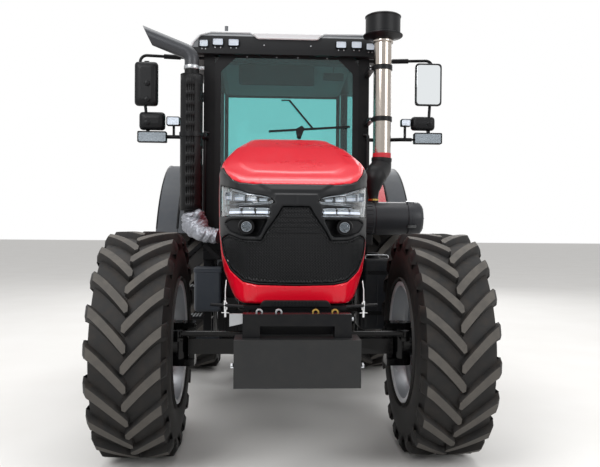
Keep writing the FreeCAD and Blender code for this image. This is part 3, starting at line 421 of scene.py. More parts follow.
def grid_faces(rows: int, columns: int, close_rows: bool, close_columns: bool) -> Array:
    """Quads of a grid of points.

    Args:
        rows: Points along the first parameter.
        columns: Points along the second.
        close_rows: Whether the last row joins the first.
        close_columns: Whether the last column joins the first.

    Returns:
        Four indices a row. Corner (i, j) has index i * columns + j.
    """
    i = np.arange(rows if close_rows else rows - 1)[:, None]
    j = np.arange(columns if close_columns else columns - 1)[None, :]
    i2, j2 = (i + 1) % rows, (j + 1) % columns
    quads = np.stack([i * columns + j, i * columns + j2, i2 * columns + j2, i2 * columns + j], axis=-1)
    return quads.reshape(-1, 4)


def pipe_rings(path: Sequence, radius, sides: int, closed: bool = False) -> Array:
    """Circles square to a path.

    Args:
        path: Points (n, 3).
        radius: One radius or one for each point.
        sides: Points round the circle.
        closed: Whether the path is a loop.

    Returns:
        Array (n, sides, 3).
    """
    path = np.asarray(path, float)
    along = np.roll(path, -1, 0) - np.roll(path, 1, 0) if closed else np.gradient(path, axis=0)
    along /= np.linalg.norm(along, axis=1, keepdims=True)
    guide = np.eye(3)[int(np.argmin(np.abs(along).max(axis=0)))]
    across = np.cross(along, guide)
    across /= np.linalg.norm(across, axis=1, keepdims=True)
    up = np.cross(across, along)
    turn = turns(sides)[None, :, None]
    size = np.broadcast_to(np.asarray(radius, float), (len(path),))[:, None, None]
    return path[:, None, :] + size * (np.cos(turn) * across[:, None, :] - np.sin(turn) * up[:, None, :])


def bent(points: Sequence, radius: float, steps: int = 8) -> Array:
    """Round a path's corners with arcs, as a bent pipe: arc = start + r ((1 - cos a) n + sin a u).

    Args:
        points: Corners (n, 3).
        radius: Bend radius in metres, less where a leg is short.
        steps: Points on each arc.

    Returns:
        The rounded path.
    """
    p = np.asarray(points, float)
    path = [p[:1]]
    for a, b, c in zip(p, p[1:], p[2:]):
        u, v = (b - a) / np.linalg.norm(b - a), (c - b) / np.linalg.norm(c - b)
        angle = math.acos(float(np.clip(u @ v, -1, 1)))
        if angle < 1e-3:
            continue
        leg = min(radius * math.tan(angle / 2), 0.48 * min(np.linalg.norm(b - a), np.linalg.norm(c - b)))
        n = v - u * (u @ v)
        n /= np.linalg.norm(n)
        turn = np.linspace(0, angle, steps)[:, None]
        path.append(b - u * leg + leg / math.tan(angle / 2) * ((1 - np.cos(turn)) * n + np.sin(turn) * u))
    return np.vstack([*path, p[-1:]])


class Solid:
    """Collects closed shapes into one mesh."""

    def __init__(self) -> None:
        """Start with no points."""
        self.points: list[Array] = []
        self.faces: list[list[int]] = []
        self.count = 0

    def add(self, points: Array, faces: Sequence) -> "Solid":
        """Add points and the faces among them."""
        self.points.append(np.asarray(points, float).reshape(-1, 3))
        self.faces += [[int(k) + self.count for k in f] for f in faces]
        self.count += len(self.points[-1])
        return self

    def loft(self, rings: Array, closed: bool = False) -> "Solid":
        """Join rings of points to a skin, with end caps unless it closes on itself.

        Args:
            rings: Array (ring, point, 3); each ring runs round the section.
            closed: Whether the last ring joins the first.
        """
        rows, columns = rings.shape[:2]
        faces = grid_faces(rows, columns, closed, True).tolist()
        if not closed:
            faces.append(list(range(columns)))
            faces.append(list(range(rows * columns - 1, (rows - 1) * columns - 1, -1)))
        return self.add(rings, faces)

    def lathe(self, profile: Sequence, centre: Sequence, axis: str = "x", count: int = 48) -> "Solid":
        """Turn a closed profile round an axis: point = centre + a along it + r * (cos t, sin t) across.

        Args:
            profile: (along, radius) points, round the section.
            centre: Where along is zero.
            axis: "x", "y" or "z".
            count: Points round.
        """
        profile = np.asarray(profile, float)
        turn = turns(count)
        along = np.broadcast_to(profile[None, :, 0], (count, len(profile)))
        across = profile[None, :, 1] * np.cos(turn)[:, None], profile[None, :, 1] * np.sin(turn)[:, None]
        order = {"x": (along, *across), "y": (across[1], along, across[0]), "z": (*across, along)}[axis]
        points = np.stack(order, axis=-1) + np.asarray(centre, float)
        return self.add(points, grid_faces(count, len(profile), True, True))

    def tube(self, path: Sequence, radius, sides: int = 16, closed: bool = False) -> "Solid":
        """Carry a circle along a path: point = path + r * (cos t * across + sin t * up).

        Args:
            path: Points (n, 3).
            radius: One radius or one for each point.
            sides: Points round the circle.
            closed: Whether the path is a loop.
        """
        return self.loft(pipe_rings(path, radius, sides, closed), closed)

    def block(self, low: Sequence, high: Sequence) -> "Solid":
        """A box from its low to its high corner."""
        (x0, y0, z0), (x1, y1, z1) = low, high
        ring = np.array(flat_box(x0, y0, x1, y1))
        rings = np.stack([np.column_stack([ring, np.full(4, z)]) for z in (z0, z1)])
        return self.loft(rings[:, ::-1])

    def prism(self, outline: Sequence, axis: str, low: float, high: float) -> "Solid":
        """Carry a flat outline along an axis; outline gives the other two coordinates in order."""
        outline = np.asarray(outline, float)
        at = "xyz".index(axis)
        rings = np.stack([np.insert(outline, at, value, axis=1) for value in (low, high)])
        return self.loft(rings)

    def shaped(self, outline: Sequence, axis: str, steps: Sequence) -> "Solid":
        """Carry an outline along an axis, moved in by its own amount at each place: a block with eased edges.

        Args:
            outline: Flat corners that give the other two coordinates in order.
            axis: "x", "y" or "z".
            steps: (place along the axis, how far the outline is moved in) in order.
        """
        at = "xyz".index(axis)
        return self.loft(np.stack([np.insert(shrunk(outline, gap), at, place, axis=1) for place,
                                   gap in steps]))

    def band(self, outer: Sequence, inner: Sequence, axis: str, low: float, high: float) -> "Solid":
        """A flat frame between two outlines with equally many corners, from low to high along an axis."""
        at = "xyz".index(axis)
        rings = [np.insert(np.asarray(o, float), at, v, axis=1) for o,
                 v in ((outer, low), (outer, high), (inner, high), (inner, low))]
        return self.loft(np.stack(rings), closed=True)

    def bolts(self, places: Sequence, normal: Sequence, radius: float, height: float) -> "Solid":
        """Hexagon heads, each a prism of six points that stands on its place along the normal."""
        normal = np.asarray(normal, float) / np.linalg.norm(normal)
        guide = np.eye(3)[int(np.argmin(np.abs(normal)))]
        across = np.cross(normal, guide)
        across /= np.linalg.norm(across)
        up = np.cross(normal, across)
        turn = turns(6)[:, None]
        ring = np.cos(turn) * across + np.sin(turn) * up
        for place in np.atleast_2d(places):
            steps = ((0.0, 1.0), (height * 0.8, 1.0), (height, 0.82))
            self.loft(np.stack([place + normal * h + ring * radius * s for h, s in steps]))
        return self

    def mirrored(self) -> "Solid":
        """Add the other side's copy, with its faces turned round so that they point out."""
        points = np.concatenate(self.points)
        flipped = [list(reversed(f)) for f in self.faces]
        return self.add(points * np.array([-1.0, 1.0, 1.0]), flipped)

    def piece(self, name: str, finish, body: str = "chassis", smooth: float = 35.0,
              bevel: float = 0.0) -> Item:
        """Make the object, with its normals pointing out and its edges rounded by bevel metres."""
        made = make_piece(name, np.concatenate(self.points), self.faces, finish, body, smooth)
        outward(made)
        if bevel:
            add_bevel(made, bevel)
        return made


def add_wall(piece: Item, thickness: float) -> None:
    """Give an open sheet a wall of thickness metres, inwards."""
    wall = piece.modifiers.new("wall", "SOLIDIFY")
    wall.thickness = thickness
    wall.offset = -1.0


def points_of(piece: Item) -> Array:
    """The mesh's points as an array (n, 3)."""
    points = np.empty(len(piece.data.vertices) * 3)
    piece.data.vertices.foreach_get("co", points)
    return points.reshape(-1, 3)


def outward(piece: Item) -> None:
    """Make every closed shell's faces point out."""
    work = bmesh.new()
    work.from_mesh(piece.data)
    bmesh.ops.recalc_face_normals(work, faces=work.faces)
    work.to_mesh(piece.data)
    work.free()


def add_bevel(piece: Item, width: float, segments: int = 2, angle: float = 35.0) -> None:
    """Round the edges sharper than angle degrees by width metres."""
    bevel = piece.modifiers.new("edges", "BEVEL")
    bevel.width = width
    bevel.segments = segments
    bevel.limit_method = "ANGLE"
    bevel.angle_limit = math.radians(angle)
    bevel.harden_normals = True
    bevel.use_clamp_overlap = True


def dress(node: str, finish, bevel: float = 0.0, angle: float = 35.0, flat: float = 1.0, zones: Sequence = (),
          cuts: Sequence = ()) -> Item:
    """Give a CAD node its finish; with a bevel, a merged copy with rounded edges stands for it.

    Args:
        node: CAD node.
        finish: Finish or Clear.
        bevel: Edge radius in metres, or 0 to leave the node itself.
        angle: Edges sharper than this many degrees are rounded.
        flat: Faces within this many degrees become one.
        zones: (finish, test) pairs; test takes face middles (n, 3) and says which faces get that finish.
        cuts: (axis number, place) of planes that part the faces, so that a zone ends on a clean line.

    Returns:
        What shows: the node or its copy.
    """
    source = frame["nodes"][node]
    if not bevel:
        source.data.materials.clear()
        source.data.materials.append(finish.build())
        return source
    work = bmesh.new()
    work.from_mesh(source.data)
    bmesh.ops.remove_doubles(work, verts=work.verts, dist=2e-5)
    bmesh.ops.dissolve_limit(work, angle_limit=math.radians(flat), verts=work.verts, edges=work.edges)
    for axis, place in cuts:
        normal = [float(k == axis) for k in range(3)]
        parts = work.verts[:] + work.edges[:] + work.faces[:]
        bmesh.ops.bisect_plane(work, geom=parts, dist=1e-6, plane_co=[place * n for n in normal],
                               plane_no=normal)
    mesh = bpy.data.meshes.new(node + "_dressed")
    work.to_mesh(mesh)
    work.free()
    mesh.materials.clear()
    mesh.materials.append(finish.build())
    middles = np.array([tuple(polygon.center) for polygon in mesh.polygons])
    for number, (other, test) in enumerate(zones, 1):
        mesh.materials.append(other.build())
        for k in np.flatnonzero(test(middles)).tolist():
            mesh.polygons[k].material_index = number
    mesh.shade_smooth()
    mesh.set_sharp_from_angle(angle=math.radians(angle))
    piece = link(node + "_dressed", mesh)
    add_bevel(piece, bevel, 2, angle)
    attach(piece, source["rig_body"])
    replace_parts(piece, node)
    LOG.info("%s dressed", node)
    return piece


# Wheels

@dataclass
class Tyre:
    """Radial drive tyre: a smooth casing and curved lugs, each side's half a pitch from the other's."""

    node: str
    body: str
    centre: tuple[float, float, float]
    radius: float
    width: float
    bead: float
    lug: float
    lug_top: float
    lugs: int = 20

    def casing(self, solid: Solid) -> None:
        """Turn the casing's smooth section: sidewall bulge, shoulder and a crowned tread base."""
        half = self.width / 2
        base = self.radius - self.lug
        u = np.linspace(0, 1, 26)
        # From the bead to the shoulder the radius rises evenly and the width swells as a sine
        rise = self.bead + (base - 0.012 - self.bead) * u
        bulge = half * (0.855 + 0.135 * np.sin(np.pi * np.clip(u * 0.93 + 0.02, 0, 1)) ** 1.2)
        side = np.column_stack([bulge, rise])
        across = np.linspace(0.86, -0.86, 15)
        # The tread base is a shallow crown
        crown = np.column_stack([across * half, base + 0.004 - 0.016 * across ** 2])
        outer = np.vstack([side, crown, side[::-1] * (-1, 1)])
        inner = [(-0.80 * half, self.bead + 0.004), (0.80 * half, self.bead + 0.004)]
        solid.lathe(np.vstack([outer, inner]), self.centre, "x", WHEEL_POINTS)

    def lug_rings(self) -> Array:
        """One lug's sections from the centre nose to the shoulder.

        Returns:
            Array (station, corner, 3) of (x, angle, radius); a station's path curves so that the lug
            runs steeply near the centre and flattens at the shoulder, and its flanks slope.
        """
        half = self.width / 2
        u = np.linspace(0, 1, 11)
        x = half * (0.015 + 0.965 * u)
        sweep = self.width * 0.46
        # Path of the lug's middle in tangential distance: nearly straight, flatter at the shoulder
        middle = sweep * ((1 - u) ** 1.22) - sweep * 0.36
        top = self.lug_top / 2 * (1.0 - 0.10 * u)
        foot = top + self.lug * 0.55
        crown = self.radius - 0.020 * (x / half) ** 2 * 0.35
        floor = self.radius - self.lug - 0.014 - 0.020 * (x / half) ** 2
        drop = np.where(u > 0.93, (u - 0.93) / 0.07 * 0.035, 0.0)
        corners = [(middle + foot, floor), (middle + top + 0.004, crown - 0.007 - drop),
                   (middle + top - 0.004, crown - drop), (middle - top + 0.004, crown - drop),
                   (middle - top - 0.004, crown - 0.007 - drop), (middle - foot, floor)]
        rings = np.stack([np.column_stack([x, t / self.radius, r]) for t, r in corners], axis=1)
        nose = rings[0].copy()
        nose[:, 0] -= half * 0.075
        nose_angle = (middle[0] + self.lug_top * 0.10) / self.radius
        nose[:, 1] = (nose[:, 1] - middle[0] / self.radius) * 0.52 + nose_angle
        tail = rings[-1].copy()
        tail[:, 0] = half * 0.992
        tail[1:5, 2] -= 0.055
        shoulder = rings[-1].copy()
        shoulder[:, 0] = half * 0.90
        shoulder[:, 1] = shoulder[:, 1] * 0.98
        shoulder[1:5, 2] = self.radius - self.lug - 0.105
        shoulder[[0, 5], 2] = self.radius - self.lug - 0.115
        return np.concatenate([nose[None], rings, tail[None], shoulder[None]])

    def build(self) -> None:
        """Make the tyre and its lugs as one piece that stands for the CAD tyre."""
        solid = Solid()
        self.casing(solid)
        rings = self.lug_rings()
        step = 2 * math.pi / (2 * self.lugs)
        cx, cy, cz = self.centre
        for k in range(2 * self.lugs):
            side = 1 if k % 2 else -1
            turn = rings[..., 1] + step * k
            # Angle zero points forward (-Y) and grows upwards, so lugs rise towards the shoulder in front
            points = np.stack([cx + side * rings[..., 0], cy - rings[..., 2] * np.cos(turn),
                               cz - rings[..., 2] * np.sin(turn)], axis=-1)
            solid.loft(points if side > 0 else points[:, ::-1])
        # One moulded ring on each sidewall and the parting line in the middle of the tread
        half = self.width / 2
        for x in (-0.93 * half, 0.93 * half):
            level = self.bead + 0.045
            solid.lathe([(x - 0.016, level), (x, level + 0.006), (x + 0.016, level), (x, level - 0.006)],
                        self.centre, "x", WHEEL_POINTS)
        ridge = self.radius - self.lug + 0.0045
        solid.lathe([(-0.003, ridge - 0.004), (0.0, ridge + 0.0015), (0.003, ridge - 0.004)], self.centre,
                    "x", WHEEL_POINTS)
        piece = solid.piece(self.node + "_treaded", TREAD_RUBBER, self.body, smooth=38)
        piece.data.materials.append(TREAD_FACE.build())
        points = points_of(piece) - self.centre
        crown = self.radius - 0.0035 - 0.007 * (points[:, 0] / half) ** 2
        at_top = np.hypot(points[:, 1], points[:, 2]) > crown
        for polygon in piece.data.polygons:
            polygon.material_index = int(at_top[list(polygon.vertices)].all())
        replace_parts(piece, self.node)


@dataclass
class Wheel:
    """Pressed rim with bead seats, drop centre and a dished disc, with clamp lugs, nuts, hub and valve."""

    node: str
    body: str
    side: int
    centre: tuple[float, float, float]
    flange: float
    seat: float
    edge: float
    disc_x: float
    hub_hole: float
    hub_face: float
    hub_radius: float
    cap_radius: float
    cap_length: float = 0.105
    nuts: int = 10
    lugs: int = 8

    def rim_profile(self) -> list[tuple[float, float]]:
        """Section of the rim as (x, radius), from one flange to the other and back inside."""
        edge, seat, top = self.edge, self.seat, self.flange
        outer = [(-edge - 0.020, top - 0.008), (-edge - 0.017, top - 0.001), (-edge - 0.011, top),
                 (-edge - 0.006, top - 0.003), (-edge - 0.005, seat), (-edge * 0.62, seat - 0.003),
                 (-edge * 0.56, seat - 0.012), (-edge * 0.50, seat - 0.040), (edge * 0.50, seat - 0.040),
                 (edge * 0.56, seat - 0.012), (edge * 0.62, seat - 0.003), (edge + 0.005, seat),
                 (edge + 0.006, top - 0.003), (edge + 0.011, top), (edge + 0.017, top - 0.001),
                 (edge + 0.020, top - 0.008)]
        wall = 0.009
        inner = [(edge + 0.016, top - 0.012), (edge + 0.012, seat - wall),
                 (edge * 0.66, seat - wall - 0.003), (edge * 0.60, seat - wall - 0.010),
                 (edge * 0.53, seat - 0.043 - wall), (-edge * 0.53, seat - 0.043 - wall),
                 (-edge * 0.60, seat - wall - 0.010), (-edge * 0.66, seat - wall - 0.003),
                 (-edge - 0.012, seat - wall), (-edge - 0.016, top - 0.012)]
        return outer + inner

    def disc_profile(self) -> list[tuple[float, float]]:
        """Section of the dished disc as (x, radius) about the wheel's middle."""
        s, d, seat = self.side, self.disc_x, self.seat
        wall = 0.016
        line = [(d, self.hub_hole), (d, seat * 0.50), (d + 0.006, seat * 0.56), (d + 0.038, seat * 0.80),
                (d + 0.046, seat - 0.062), (d + 0.040, seat - 0.052)]
        back = [(x + wall, r - 0.002) for x, r in reversed(line)]
        return [(s * x, r) for x, r in line + back]

    def build(self) -> None:
        """Make rim, disc, hub and fasteners, which together stand for the CAD rim."""
        cx, cy, cz = self.centre
        solid = Solid()
        solid.lathe(self.rim_profile(), self.centre, "x", WHEEL_POINTS)
        solid.lathe(self.disc_profile(), self.centre, "x", WHEEL_POINTS)
        turn = turns(self.lugs) + 0.2
        across = np.column_stack([np.cos(turn), np.sin(turn)])
        # Clamp lugs welded between disc and rim, as thick plates along the radius
        for c, n in across:
            radial, around = np.array([0, c, n]), np.array([0, -n, c])
            low, high = self.seat - 0.085, self.seat - 0.047
            plate = [(low, -0.035), (high, -0.050), (high, 0.050), (low, 0.035)]
            ends = sorted(self.side * (self.disc_x + reach) for reach in (0.030, 0.092))
            solid.loft(np.stack([[np.array([cx + x, cy, cz]) + radial * r + around * t for r, t in plate]
                                 for x in ends]))
        piece = solid.piece(self.node + "_pressed", WHEEL_SILVER, self.body, smooth=32)
        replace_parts(piece, self.node)
        # Pale rings round both flanges' edges paint a highlight: the bright line where light catches the rim
        rings = Solid()
        for way in (1, -1):
            at, top = way * (self.edge + 0.0125), self.flange
            rings.lathe([(at - way * 0.001, top - 0.026), (at + way * 0.006, top - 0.025),
                         (at + way * 0.012, top - 0.006), (at + way * 0.010, top + 0.003),
                         (at - way * 0.001, top + 0.004)], self.centre, "x", WHEEL_POINTS)
        rings.piece(self.node + "_painted_flange_highlights", RIM_EDGE_HIGHLIGHT, self.body, smooth=50)
        hub = Solid()
        face = self.hub_face
        disc = abs(cx) + self.disc_x
        cap = disc + self.cap_length
        r = self.cap_radius
        hub.lathe([(self.side * a, b) for a, b in ((face + 0.001, 0.0), (face + 0.001, 0.060),
                (face + 0.006, self.hub_radius - 0.004), (face + 0.010, self.hub_radius),
                (disc - 0.001, self.hub_radius), (disc - 0.001, r), (disc + 0.030, r),
                (disc + 0.036, r - 0.012), (cap - 0.030, r - 0.016), (cap - 0.006, r - 0.024),
                (cap, r - 0.036), (cap, 0.0))], (0, cy, cz), "x", 64)
        hub.piece(self.node + "_hub", CHASSIS_GLOSS, self.body, smooth=32)
        nuts = Solid()
        turn = turns(self.nuts)
        circle = (self.hub_radius + r) / 2 + 0.004
        places = np.column_stack([np.full(self.nuts, self.side * (disc + 0.016)),
                                  cy + circle * np.cos(turn), cz + circle * np.sin(turn)])
        nuts.bolts(places, (self.side, 0, 0), 0.017, 0.020)
        for place in places:
            nuts.lathe([(0, 0.0), (0, 0.0085), (self.side * 0.034, 0.0085), (self.side * 0.036, 0.0)],
                       place, "x", 12)
            nuts.lathe([(0, 0.0), (0, 0.021), (self.side * 0.003, 0.021), (self.side * 0.003, 0.0)], place,
                       "x", 20)
        turn = turns(8)
        places = np.column_stack([np.full(8, self.side * (cap - 0.0005)), cy + (r - 0.055) * np.cos(turn),
                                  cz + (r - 0.055) * np.sin(turn)])
        nuts.bolts(places, (self.side, 0, 0), 0.008, 0.006)
        nuts.piece(self.node + "_nuts", ZINC_STEEL, self.body, smooth=32)
        valve = Solid()
        base = np.array([cx + self.side * (self.edge * 0.40), cy + (self.seat - 0.055) * math.cos(1.1),
                         cz + (self.seat - 0.055) * math.sin(1.1)])
        inward = np.array([self.side * 0.8, -0.6 * math.cos(1.1), -0.6 * math.sin(1.1)])
        valve.tube(base + np.outer(np.linspace(0, 0.05, 4), inward), np.array([0.008, 0.006, 0.005, 0.005]),
                   12)
        valve.piece(self.node + "_valve", BLACK_ABS, self.body, smooth=40)


# Nose and bonnet

def smooth_table(points: Sequence, spread: float) -> tuple[Array, Array]:
    """Round the corners of a polyline y(x) by a moving average of width spread.

    Args:
        points: (x, y) rising in x.
        spread: Width in metres.

    Returns:
        Even x values and their y, for np.interp.
    """
    points = np.asarray(points, float)
    first, last = points[0], points[-1]
    x = np.arange(first[0] - 0.2, last[0] + 0.2, 0.004)
    slope0 = (points[1, 1] - first[1]) / (points[1, 0] - first[0])
    slope1 = (last[1] - points[-2, 1]) / (last[0] - points[-2, 0])
    y = np.interp(x, points[:, 0], points[:, 1])
    y = np.where(x < first[0], first[1] + slope0 * (x - first[0]), y)
    y = np.where(x > last[0], last[1] + slope1 * (x - last[0]), y)
    width = max(3, int(spread / 0.004) | 1)
    kernel = np.hanning(width + 2)[1:-1]
    padded = np.pad(y, width // 2, mode="reflect", reflect_type="odd")
    return x, np.convolve(padded, kernel / kernel.sum(), mode="valid")


def outline_distance(points: Array, outline: Sequence) -> Array:
    """Signed distance of flat points to a closed outline, below zero inside.

    Args:
        points: (n, 2).
        outline: (m, 2) corners in order.

    Returns:
        n distances: the nearest edge's, with the sign of an even-odd crossing count.
    """
    a = np.asarray(outline, float)
    b = np.roll(a, -1, 0)
    edge = b - a
    rel = points[:, None, :] - a[None]
    along = np.clip((rel * edge).sum(-1) / (edge ** 2).sum(-1), 0, 1)
    gap = np.linalg.norm(rel - along[..., None] * edge, axis=-1).min(1)
    above = (a[None, :, 1] > points[:, None, 1]) != (b[None, :, 1] > points[:, None, 1])
    rise = np.where(np.abs(edge[:, 1]) < 1e-12, 1e-12, edge[:, 1])
    cross = points[:, None, 0] < a[None, :, 0] + (points[:, None, 1] - a[None, :, 1]) * edge[:, 0] / rise
    inside = ((above & cross).sum(1) % 2).astype(bool)
    return np.where(inside, -gap, gap)


def both_halves(half: Sequence) -> Array:
    """Closed outline from the points of its +X half."""
    half = np.asarray(half, float)
    other = half[::-1] * (-1, 1)
    return np.vstack([half, other[np.abs(other[:, 0]) > 1e-9]])


def flat_box(x0: float, y0: float, x1: float, y1: float) -> list[tuple[float, float]]:
    """Corners of a flat box from its low to its high corner, in order round it."""
    return [(x0, y0), (x1, y0), (x1, y1), (x0, y1)]


def rounded_box(x0: float, y0: float, x1: float, y1: float, radius: float, steps: int = 6) -> Array:
    """A flat box whose corners are rounded by radius."""
    return rounded_outline(flat_box(x0, y0, x1, y1), radius, steps)


def rounded_outline(outline: Sequence, radius: float, steps: int = 6) -> Array:
    """Round an outline's corners: each becomes a quadratic curve between points radius along its edges."""
    p = np.asarray(outline, float)
    before, after = np.roll(p, 1, 0) - p, np.roll(p, -1, 0) - p
    lengths = np.linalg.norm(before, axis=1, keepdims=True), np.linalg.norm(after, axis=1, keepdims=True)
    start = p + before * np.minimum(radius / lengths[0], 0.45)
    end = p + after * np.minimum(radius / lengths[1], 0.45)
    t = np.linspace(0, 1, steps)[None, :, None]
    curve = (1 - t) ** 2 * start[:, None] + 2 * t * (1 - t) * p[:, None] + t ** 2 * end[:, None]
    return curve.reshape(-1, 2)


def divided(outline: Sequence, step: float) -> Array:
    """Add even points along a closed outline, at most step apart."""
    outline = np.asarray(outline, float)
    nxt = np.roll(outline, -1, 0)
    counts = np.maximum(1, np.ceil(np.linalg.norm(nxt - outline, axis=1) / step).astype(int))
    return np.vstack([a + (b - a) * np.linspace(0, 1, n, endpoint=False)[:, None] for a, b,
                      n in zip(outline, nxt, counts)])


def moved_in(outline: Array, gap: float) -> Array:
    """Move a closed outline inwards by gap, or outwards where gap is below zero."""
    outline = np.asarray(outline, float)
    after, before = np.roll(outline, -1, 0) - outline, outline - np.roll(outline, 1, 0)
    after /= np.maximum(np.linalg.norm(after, axis=1, keepdims=True), 1e-9)
    before /= np.maximum(np.linalg.norm(before, axis=1, keepdims=True), 1e-9)
    normal = np.column_stack([-(after + before)[:, 1], (after + before)[:, 0]])
    size = np.maximum(np.linalg.norm(normal, axis=1, keepdims=True), 0.7)
    area = np.sum(outline[:, 0] * np.roll(outline, -1, 0)[:, 1]
                  - np.roll(outline, -1, 0)[:, 0] * outline[:, 1])
    return outline + normal / size * gap * (1.0 if area > 0 else -1.0)


def shrunk(outline: Sequence, gap: float) -> Array:
    """Scale an outline about its middle so that its box shrinks by gap on each side; corners never cross."""
    outline = np.asarray(outline, float)
    low, high = outline.min(0), outline.max(0)
    middle, half = (low + high) / 2, (high - low) / 2
    return middle + (outline - middle) * (1 - np.minimum(gap / half, 0.9))


@dataclass
class BonnetForm:
    """The bonnet's outer surface, where rounded front, plan and side outlines meet.

    A point is where a ray from a spine inside the bonnet crosses f = 0. The ray's heading is the first
    parameter, from the nose round to each side and then back along the spine, and its elevation the second.
    f is a soft maximum, k log sum exp(g / k), of the signed distances g to the three outlines.
    """

    soft: float = 0.020
    spine_y: float = front(-0.20)
    spine_z: float = 1.42
    reach: float = 0.5
    front_view: tuple = ((1.00, 0.226), (1.10, 0.370), (1.25, 0.446), (1.47, 0.504), (1.70, 0.535),
                         (1.80, 0.526), (1.889, 0.486), (1.957, 0.470), (2.02, 0.446), (2.10, 0.406),
                         (2.16, 0.366), (2.21, 0.326), (2.30, 0.246))
    plan_view: tuple = ((0.0, -0.668), (0.15, -0.657), (0.235, -0.636), (0.30, -0.604), (0.36, -0.540),
                        (0.405, -0.463), (0.44, -0.383), (0.468, -0.302), (0.487, -0.170), (0.500, 0.0),
                        (0.545, 1.40))
    side_view: tuple = ((0.90, -0.600), (1.075, -0.628), (1.19, -0.648), (1.36, -0.672), (1.48, -0.678),
                        (1.58, -0.671), (1.66, -0.648), (1.735, -0.608), (1.80, -0.540), (1.862, -0.400),
                        (1.938, -0.200), (2.10, 0.300), (2.222, 0.80), (2.298, 1.40))
    tables: dict = field(default_factory=dict)

    def __post_init__(self) -> None:
        """Smooth the three outlines once, with their slopes."""
        for key, points, spread in (("front", self.front_view, 0.06), ("plan", self.plan_view, 0.03),
                                    ("side", self.side_view, 0.05)):
            x, y = smooth_table(points, spread)
            self.tables[key] = (x, y, np.sqrt(1 + np.gradient(y, x) ** 2))

    def value(self, p: Array) -> Array:
        """f at points (n, 3): below zero inside the bonnet."""
        x, y, z = np.abs(p[:, 0]), p[:, 1] - FRONT_AXLE_Y, p[:, 2]
        t = self.tables
        front_gap = (x - np.interp(z, t["front"][0], t["front"][1])) / np.interp(z, t["front"][0],
                t["front"][2])
        plan_gap = (np.interp(x, t["plan"][0], t["plan"][1]) - y) / np.interp(x, t["plan"][0], t["plan"][2])
        side_gap = (np.interp(z, t["side"][0], t["side"][1]) - y) / np.interp(z, t["side"][0], t["side"][2])
        gaps = np.stack([front_gap, plan_gap, side_gap])
        top = gaps.max(0)
        return top + self.soft * np.log(np.exp((gaps - top) / self.soft).sum(0))

    def crossing(self, start: Array, way: Array, reach: float = 1.6) -> Array:
        """Where rays from inside points leave the surface, by halving."""
        low = np.zeros(len(start))
        high = np.full(len(start), reach)
        for _ in range(HALVINGS):
            middle = (low + high) / 2
            inside = self.value(start + way * middle[:, None]) < 0
            low, high = np.where(inside, middle, low), np.where(inside, high, middle)
        return start + way * low[:, None]

    def surface(self, st: Array) -> Array:
        """Points of the surface at parameters (heading, elevation)."""
        heading = np.clip(st[:, 0], -np.pi / 2, np.pi / 2)
        back = np.maximum(np.abs(st[:, 0]) - np.pi / 2, 0) * self.reach
        start = np.column_stack([np.zeros(len(st)), self.spine_y + back, np.full(len(st), self.spine_z)])
        flat = np.cos(st[:, 1])
        way = np.column_stack([np.sin(heading) * flat, -np.cos(heading) * flat, np.sin(st[:, 1])])
        return self.crossing(start, way)

    def parameters(self, p: Array) -> Array:
        """Heading and elevation of points on the surface."""
        ahead = p[:, 1] < self.spine_y
        heading = np.where(ahead, np.arctan2(p[:, 0], np.maximum(self.spine_y - p[:, 1], 0)),
                           np.sign(p[:, 0]) * (np.pi / 2 + np.maximum(p[:, 1] - self.spine_y,
                0) / self.reach))
        flat = np.where(ahead, np.hypot(p[:, 0], p[:, 1] - self.spine_y), np.abs(p[:, 0]))
        return np.column_stack([heading, np.arctan2(p[:, 2] - self.spine_z, flat)])

    def from_front(self, xz: Array) -> Array:
        """Surface points seen at (x, z) from the front."""
        start = np.column_stack([xz[:, 0], np.full(len(xz), self.spine_y + 0.25), xz[:, 1]])
        return self.crossing(start, np.tile([0.0, -1.0, 0.0], (len(xz), 1)))

    def from_side(self, yz: Array, side: int) -> Array:
        """Surface points seen at (y behind the front axle, z) from one side."""
        start = np.column_stack([np.zeros(len(yz)), FRONT_AXLE_Y + yz[:, 0], yz[:, 1]])
        return self.crossing(start, np.tile([float(side), 0.0, 0.0], (len(yz), 1)))

    def normals(self, p: Array) -> Array:
        """Outward unit normals: the gradient of f by central differences."""
        step = 0.002
        grad = np.stack([self.value(p + step * e) - self.value(p - step * e) for e in np.eye(3)], axis=1)
        return grad / np.linalg.norm(grad, axis=1, keepdims=True)


